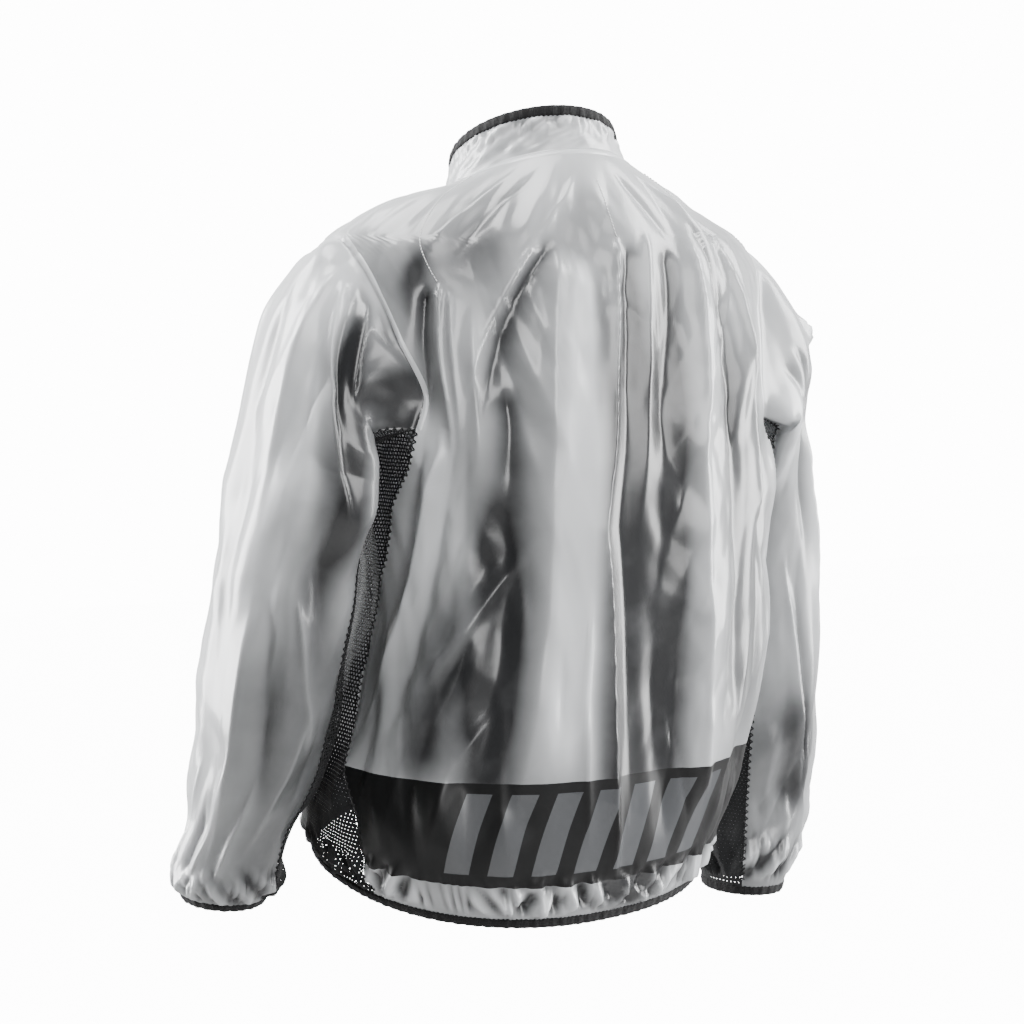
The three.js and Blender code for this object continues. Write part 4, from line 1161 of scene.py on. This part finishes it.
def binding(name, path, out, past, closed, nodes):
    """A flat rounded band round the edge line path. out and past are its two directions."""
    turn = np.linspace(0, 2 * math.pi, BINDING_SIDES, endpoint=False)
    thick = BINDING_THICK / 2 * np.sign(np.cos(turn)) * np.abs(np.cos(turn)) ** 0.5
    tall = BINDING_HEIGHT / 2 * np.sign(np.sin(turn)) * np.abs(np.sin(turn)) ** 0.7
    length = run_length(path)
    scallop = 0.55 * np.sin(2 * math.pi * length / 4.2)
    pucker = 0.35 * np.sin(2 * math.pi * length / 9.0 + 1.0) + 0.25 * np.sin(length / 2.3)
    upper = tall < -BINDING_HEIGHT / 6
    tall = tall[None] - np.where(upper, 1.0, 0.0)[None] * scallop[:, None] - BINDING_IN
    thick = thick[None] - BINDING_SUNK + pucker[:, None]
    points = path[:, None] + out[:, None] * thick[..., None] + past[:, None] * tall[..., None]
    faces = grid_faces(len(path), BINDING_SIDES, closed=True).tolist()
    k = np.arange(BINDING_SIDES)
    last = (len(path) - 1) * BINDING_SIDES
    if closed:
        after = (k + 1) % BINDING_SIDES
        faces += np.stack([last + k, k, after, last + after], -1).tolist()
    else:
        faces += [k.tolist(), (last + k)[::-1].tolist()]
    uv = np.stack(np.broadcast_arrays(length[:, None], tall), -1)
    obj = make_object(name, points.reshape(-1, 3), faces, uv.reshape(-1, 2))
    return finish_piece(obj, ELASTIC, nodes)


def edge_frame(surface, u, edge_value, inner_value):
    """Edge line, outward way and way past the edge, from the plain surface."""
    line = surface(u, np.full_like(u, edge_value))
    past = unit(line - surface(u, np.full_like(u, inner_value)))
    out = unit(np.cross(np.gradient(line, axis=0), past))
    out = out * np.sign(np.sum(out * (line - line.mean(0)), -1).mean())
    return line, out, past


hem_end = float(beside_front(np.array(HEM_DROP), TAPE_WIDTH))
hem_theta = np.linspace(-hem_end, hem_end, 760)
line, out, past = edge_frame(ring, hem_theta, HEM_DROP, HEM_DROP - 8)
hem_binding = binding("hem_elastic", line, out, past, False, ["hem_binding"])
print("hem elastic is", round(run_length(line)[-1]), "mm long")

cuff_phi = np.linspace(-180, 180, 240, endpoint=False)
for side, word in SIDES:
    line, out, past = edge_frame(lambda p, a: arm_plain(side, p, a) * (side, 1, 1), cuff_phi,
                                 SLEEVE_LENGTH, SLEEVE_LENGTH - 8)
    binding(f"cuff_elastic_{word}", line, out, past, True,
                                  [f"cuff_binding_{word}"])

rim_theta = np.linspace(-collar_end, collar_end, 420)
line, out, past = edge_frame(neck_plain, rim_theta, COLLAR_RISE, COLLAR_RISE - 6)
collar_binding = binding("collar_elastic", line, out, past, False, ["collar_binding"])
print("collar elastic is", round(run_length(line)[-1]), "mm long")

# %% [markdown]
# Sewing shows as short stitches lying on the cloth. Hundreds of them are one joined mesh,
# each a thin four-sided bar between two points, lifted by half a thread.

# %% Stitches
THREAD_WIDTH = 0.75


def bars(name, rows, width, material, slot):
    """Thin bars in one mesh. A row has starts, ends and the ways up from the cloth."""
    starts, ends, ups = (np.concatenate(column) for column in zip(*rows))
    way = unit(ends - starts)
    sideways = unit(np.cross(way, ups)) * width / 2
    lift = unit(np.cross(sideways, way)) * width / 2
    corners = [np.stack([p + sideways, p + lift, p - sideways, p - lift], 1)
               for p in (starts, ends)]
    points = np.concatenate(corners, 1).reshape(-1, 3)
    k = np.arange(4)
    after = (k + 1) % 4
    one = np.concatenate([np.stack([k, after, after + 4, k + 4], -1), [[3, 2, 1, 0], [4, 5, 6, 7]]])
    faces = (one[None] + (np.arange(len(starts)) * 8)[:, None, None]).reshape(-1, 4)
    uv = np.tile(np.stack([np.zeros(8), np.arange(8) * 1.0], -1), (len(starts), 1))
    obj = make_object(name, points, faces, uv)
    return finish_piece(obj, material)


def running_stitch(line, up, step=3.2, part=2.2, lift=0.35):
    """Starts, ends and ways up of stitches that lie on a line, each a part of its step."""
    line = line + up * lift
    length = run_length(line)
    starts = np.arange(0.0, length[-1] - step, step)
    ups = read_line(np.linspace(0, 1, len(starts)), np.linspace(0, 1, len(up)), up)
    return read_line(starts, length, line), read_line(starts + part, length, line), ups


def zigzag(line, up, step=3.4, half=2.3, lift=0.6):
    """Starts, ends and ways up of stitches that cross an edge line from side to side."""
    length = run_length(line)
    at = np.arange(0, length[-1], step)
    centre = read_line(at, length, line)
    ups = unit(read_line(at, length, up))
    across = unit(np.cross(ups, unit(np.gradient(centre, axis=0)))) * half
    corners = centre + across * np.where(np.arange(len(at)) % 2, 1, -1)[:, None] + ups * lift
    return corners[:-1], corners[1:], ups[:-1]


def body_line(theta, drop):
    return skin(theta, drop), normals(skin, theta, drop)


net_rows = []
for side in (1, -1):
    drop = np.linspace(240, HEM_DROP - 8, 200)
    for which in ("back", "front"):
        net_rows.append(zigzag(*body_line(side * read(NET_EDGE, which, drop), drop)))
    along = np.linspace(2, SLEEVE_LENGTH - 8, 240)
    for phi in (film_edge(side, along), np.full_like(along, 360 - NET_PHI)):
        line = arm(side, phi, along) * (side, 1, 1)
        up = normals(lambda p, q: arm(side, p, q), phi, along, 1, 1, -1) * (side, 1, 1)
        net_rows.append(zigzag(line, up))
net_stitches = bars("net_edge_stitches", net_rows, THREAD_WIDTH * 1.6, THREAD_DARK, "net")

TUCKS = ((62, 10, 43.5, 108), (-2, 26, -3.5, 72), (-47, 14, -38.5, 76))   # from and to
tuck_rows = []
for theta0, drop0, theta1, drop1 in TUCKS:
    s = np.linspace(0, 1, 40)
    line, up = body_line(theta0 + (theta1 - theta0) * s, drop0 + (drop1 - drop0) * s)
    tuck_rows.append(running_stitch(line, up))
tuck_stitches = bars("tuck_stitches", tuck_rows, THREAD_WIDTH, THREAD, "film")
print("stitches:", len(net_stitches.data.polygons) // 6 + len(tuck_stitches.data.polygons) // 6)

# %% [markdown]
# At each seam the film's allowance is turned and stitched down, which leaves a narrow
# raised welt that catches the light. The welts are strips made from the panels' own points.

# %% Welts
WELT_WIDTH = 5.0
WELT_LIFT = 0.6


# welts get almost no painted shade, so they show the film's painted light colour
def welt(name, rows, ups, painted_shading=0.05):
    """rows is (count, 5, 3): five lines side by side, the middle three lifted."""
    lift = np.array([0.05, 0.8, 1.0, 0.8, 0.05]) * WELT_LIFT
    points = rows + ups * lift[None, :, None]
    high, wide = points.shape[:2]
    length = run_length(rows[:, 2])
    uv = np.stack(np.broadcast_arrays(np.linspace(0, WELT_WIDTH, wide)[None], length[:, None]), -1)
    obj = make_object(name, points.reshape(-1, 3), grid_faces(high, wide), uv.reshape(-1, 2),
                      {"painted_shade": np.full(high * wide, painted_shading)})
    return finish_piece(obj, FILM)


for side, word in SIDES:
    # round the armhole's film part, on the body side
    phi = np.linspace(-NET_PHI, NET_PHI, 300)
    theta, drop = armhole_edge(phi)
    theta = np.where(phi >= 0, theta, 180 - theta)
    step = np.stack([np.gradient(theta) * DEGREE_MM, np.gradient(drop)], -1)
    inward = unit(np.stack([-step[:, 1], step[:, 0]], -1))
    grow = np.linspace(0.2, WELT_WIDTH, 5)
    wide_theta = theta[:, None] + inward[:, :1] * grow[None] / DEGREE_MM
    wide_drop = drop[:, None] + inward[:, 1:] * grow[None]
    lines = skin(side * wide_theta, wide_drop)
    ups = normals(skin, side * wide_theta, wide_drop)
    welt(f"armhole_welt_{word}", lines, ups)

neck_theta = np.linspace(-collar_end, collar_end, 260)
neck_drop = np.linspace(0.4, WELT_WIDTH + 0.4, 5)
wide_theta, wide_drop = np.broadcast_arrays(neck_theta[:, None], neck_drop[None])
ups = normals(ring, wide_theta, wide_drop + 0.5)
welt("neck_welt", skin(wide_theta, wide_drop), ups)

# %% [markdown]
# The zip is closed. Its tapes lie between the fronts, and moulded teeth close over them.

# %% Zip
TOOTH_PITCH = 2.6
TOOTH_SIZE = (3.4, 1.5, 1.5)     # across, along, proud
TOOTH_OFFSET = 0.9               # teeth lie this far to either side in turn
NECK_RADIUS = 82.0               # of the collar at the zip, on average
TAPE_LINES = (0.1, 2.5, 5.0, 7.5, TAPE_WIDTH - 0.2)     # mm from the centre front


def zip_path(side, distance):
    """Points up the centre front: body from hem to neck, then the collar."""
    drop = np.linspace(HEM_DROP, 1.0, 500)
    body_part = skin(side * beside_front(drop, distance), drop)
    rise = np.linspace(0.5, COLLAR_RISE, 60)
    step = math.radians(1) * NECK_RADIUS
    neck_part = neck_plain(side * (180 - distance / step), rise)
    return np.concatenate([body_part, neck_part])


for side, word in SIDES:
    strips = np.stack([zip_path(side, distance) for distance in TAPE_LINES], 1)
    length = run_length(strips[:, 2])
    across = np.linspace(0, TAPE_WIDTH, len(TAPE_LINES))
    uv = np.stack(np.broadcast_arrays(across[None], length[:, None]), -1)
    tape = sheet_mesh(f"zip_tape_cloth_{word}", strips, uv, {}, float(side), 0.8)
    finish_piece(tape, TAPE, [f"zip_tape_{word}"])

centre = zip_path(1, 0.0)
length = run_length(centre)
at = np.arange(6, length[-1] - 18, TOOTH_PITCH)
tooth_at = read_line(at, length, centre)
tooth_way = unit(np.gradient(tooth_at, axis=0))
tooth_side = unit(np.cross(tooth_way, np.array([0.0, -1.0, 0.0])))
tooth_out = unit(np.cross(tooth_side, tooth_way))
tooth_out = tooth_out * np.sign(-tooth_out[:, 1:2])
shift = np.where(np.arange(len(at)) % 2, TOOTH_OFFSET, -TOOTH_OFFSET)[:, None]
half = np.array(TOOTH_SIZE) / 2
corners = []
for dx in (-1, 1):
    for dy in (-1, 1):
        for dz in (0, 1):
            corners.append(tooth_at + tooth_side * (shift + dx * half[0])
                           + tooth_way * dy * half[1] * (0.8 if dx < 0 else 1.0)
                           + tooth_out * (0.1 + dz * TOOTH_SIZE[2]))
points = np.stack(corners, 1).reshape(-1, 3)
box_faces = np.array([[0, 1, 3, 2], [4, 6, 7, 5], [0, 4, 5, 1],
                      [2, 3, 7, 6], [1, 5, 7, 3], [0, 2, 6, 4]])
faces = (box_faces[None] + (np.arange(len(at)) * 8)[:, None, None]).reshape(-1, 4)
teeth = make_object("zip_teeth", points, faces)
finish_piece(teeth, ZIP_PLASTIC)
for node in ("zip_slider", "zip_pull"):
    frame["nodes"][node].data.materials.clear()
    frame["nodes"][node].data.materials.append(ZIP_PLASTIC)
print("zip:", len(at), "teeth")

# %% [markdown]

# %% [markdown]
# The room: a pale floor, a large soft light on each side and a little behind the coat, a
# softer one high up on the viewer's side, and a plain bright surround.

# %% Floor, lights and surround
FLOOR_Z = -1500.0
FLOOR_HALF = 9000.0
FLOOR_GREY = "#8c8c8c"
FLOOR_GLOW = 13.5                # only the camera sees the floor and the surround so bright
SURROUND_GLOW = 14.0
FILL = 0.12                      # what the surround itself lights the coat with


def soft_light(name, place, target, size, power):
    light = bpy.data.lights.new(name, "AREA")
    light.shape = "RECTANGLE"
    light.size, light.size_y = size
    light.energy = power
    obj = bpy.data.objects.new(name, light)
    bpy.context.scene.collection.objects.link(obj)
    back_way = unit(np.array(place, float) - np.array(target, float))
    side_way = unit(np.cross(np.array([0.0, 0.0, 1.0]), back_way))
    matrix = np.eye(4)
    matrix[:3, 0], matrix[:3, 1], matrix[:3, 2] = side_way, np.cross(back_way, side_way), back_way
    matrix[:3, 3] = np.array(place) * MM
    obj.matrix_world = matrix.T.tolist()
    return obj


def from_camera(right, up, towards):
    """A place given as the photographer sees it: right, up and towards the camera, in mm."""
    flat_back = unit(cam_back * (1, 1, 0))
    return cam_right * right + np.array([0, 0, 1.0]) * up + flat_back * towards


CHEST = VIEW_TARGET              # the lights aim where the camera does
soft_light("left_softbox", from_camera(-1900, 100, -350), CHEST, (1.0, 2.2), 190)
soft_light("right_softbox", from_camera(1850, 200, -350), CHEST, (1.1, 2.4), 160)
soft_light("front_softbox", from_camera(1300, 500, 2300), CHEST, (1.6, 2.2), 95)
soft_light("high_softbox", from_camera(-300, 1800, 400), CHEST, (1.6, 1.0), 90)
glow_wall = soft_light("rear_glow", from_camera(0, 100, -2600), CHEST, (4.0, 3.4), 90)
glow_wall.visible_camera = False


def floor_surface(tree):
    seen_by = add_node(tree, "ShaderNodeLightPath")
    matt = add_node(tree, "ShaderNodeBsdfDiffuse", inputs={"Color": colour(FLOOR_GREY)})
    bright = add_node(tree, "ShaderNodeEmission", inputs={"Strength": FLOOR_GLOW})
    pale = add_node(tree, "ShaderNodeAddShader", links={0: (matt, 0), 1: (bright, 0)})
    ground = add_node(tree, "ShaderNodeMixShader",
                      links={0: (seen_by, "Is Camera Ray"), 1: (matt, 0), 2: (pale, 0)})
    return ground, 0


floor_corners = [(x * FLOOR_HALF, y * FLOOR_HALF, FLOOR_Z)
                 for x, y in ((-1, -1), (1, -1), (1, 1), (-1, 1))]
floor = make_object("studio_floor", floor_corners, [(0, 1, 2, 3)])
floor.data.materials.append(new_material("pale_studio_floor", floor_surface))

world = bpy.data.worlds.new("studio")
bpy.context.scene.world = world
world.use_nodes = True
world.node_tree.nodes.clear()
path = add_node(world.node_tree, "ShaderNodeLightPath")
seen = add_node(world.node_tree, "ShaderNodeBackground",
                inputs={"Color": colour("#ffffff"), "Strength": SURROUND_GLOW})
fill = add_node(world.node_tree, "ShaderNodeBackground",
                inputs={"Color": colour("#ffffff"), "Strength": FILL})
mixed = add_node(world.node_tree, "ShaderNodeMixShader",
                 links={0: (path, "Is Camera Ray"), 1: (fill, 0), 2: (seen, 0)})
add_node(world.node_tree, "ShaderNodeOutputWorld", links={"Surface": (mixed, 0)})
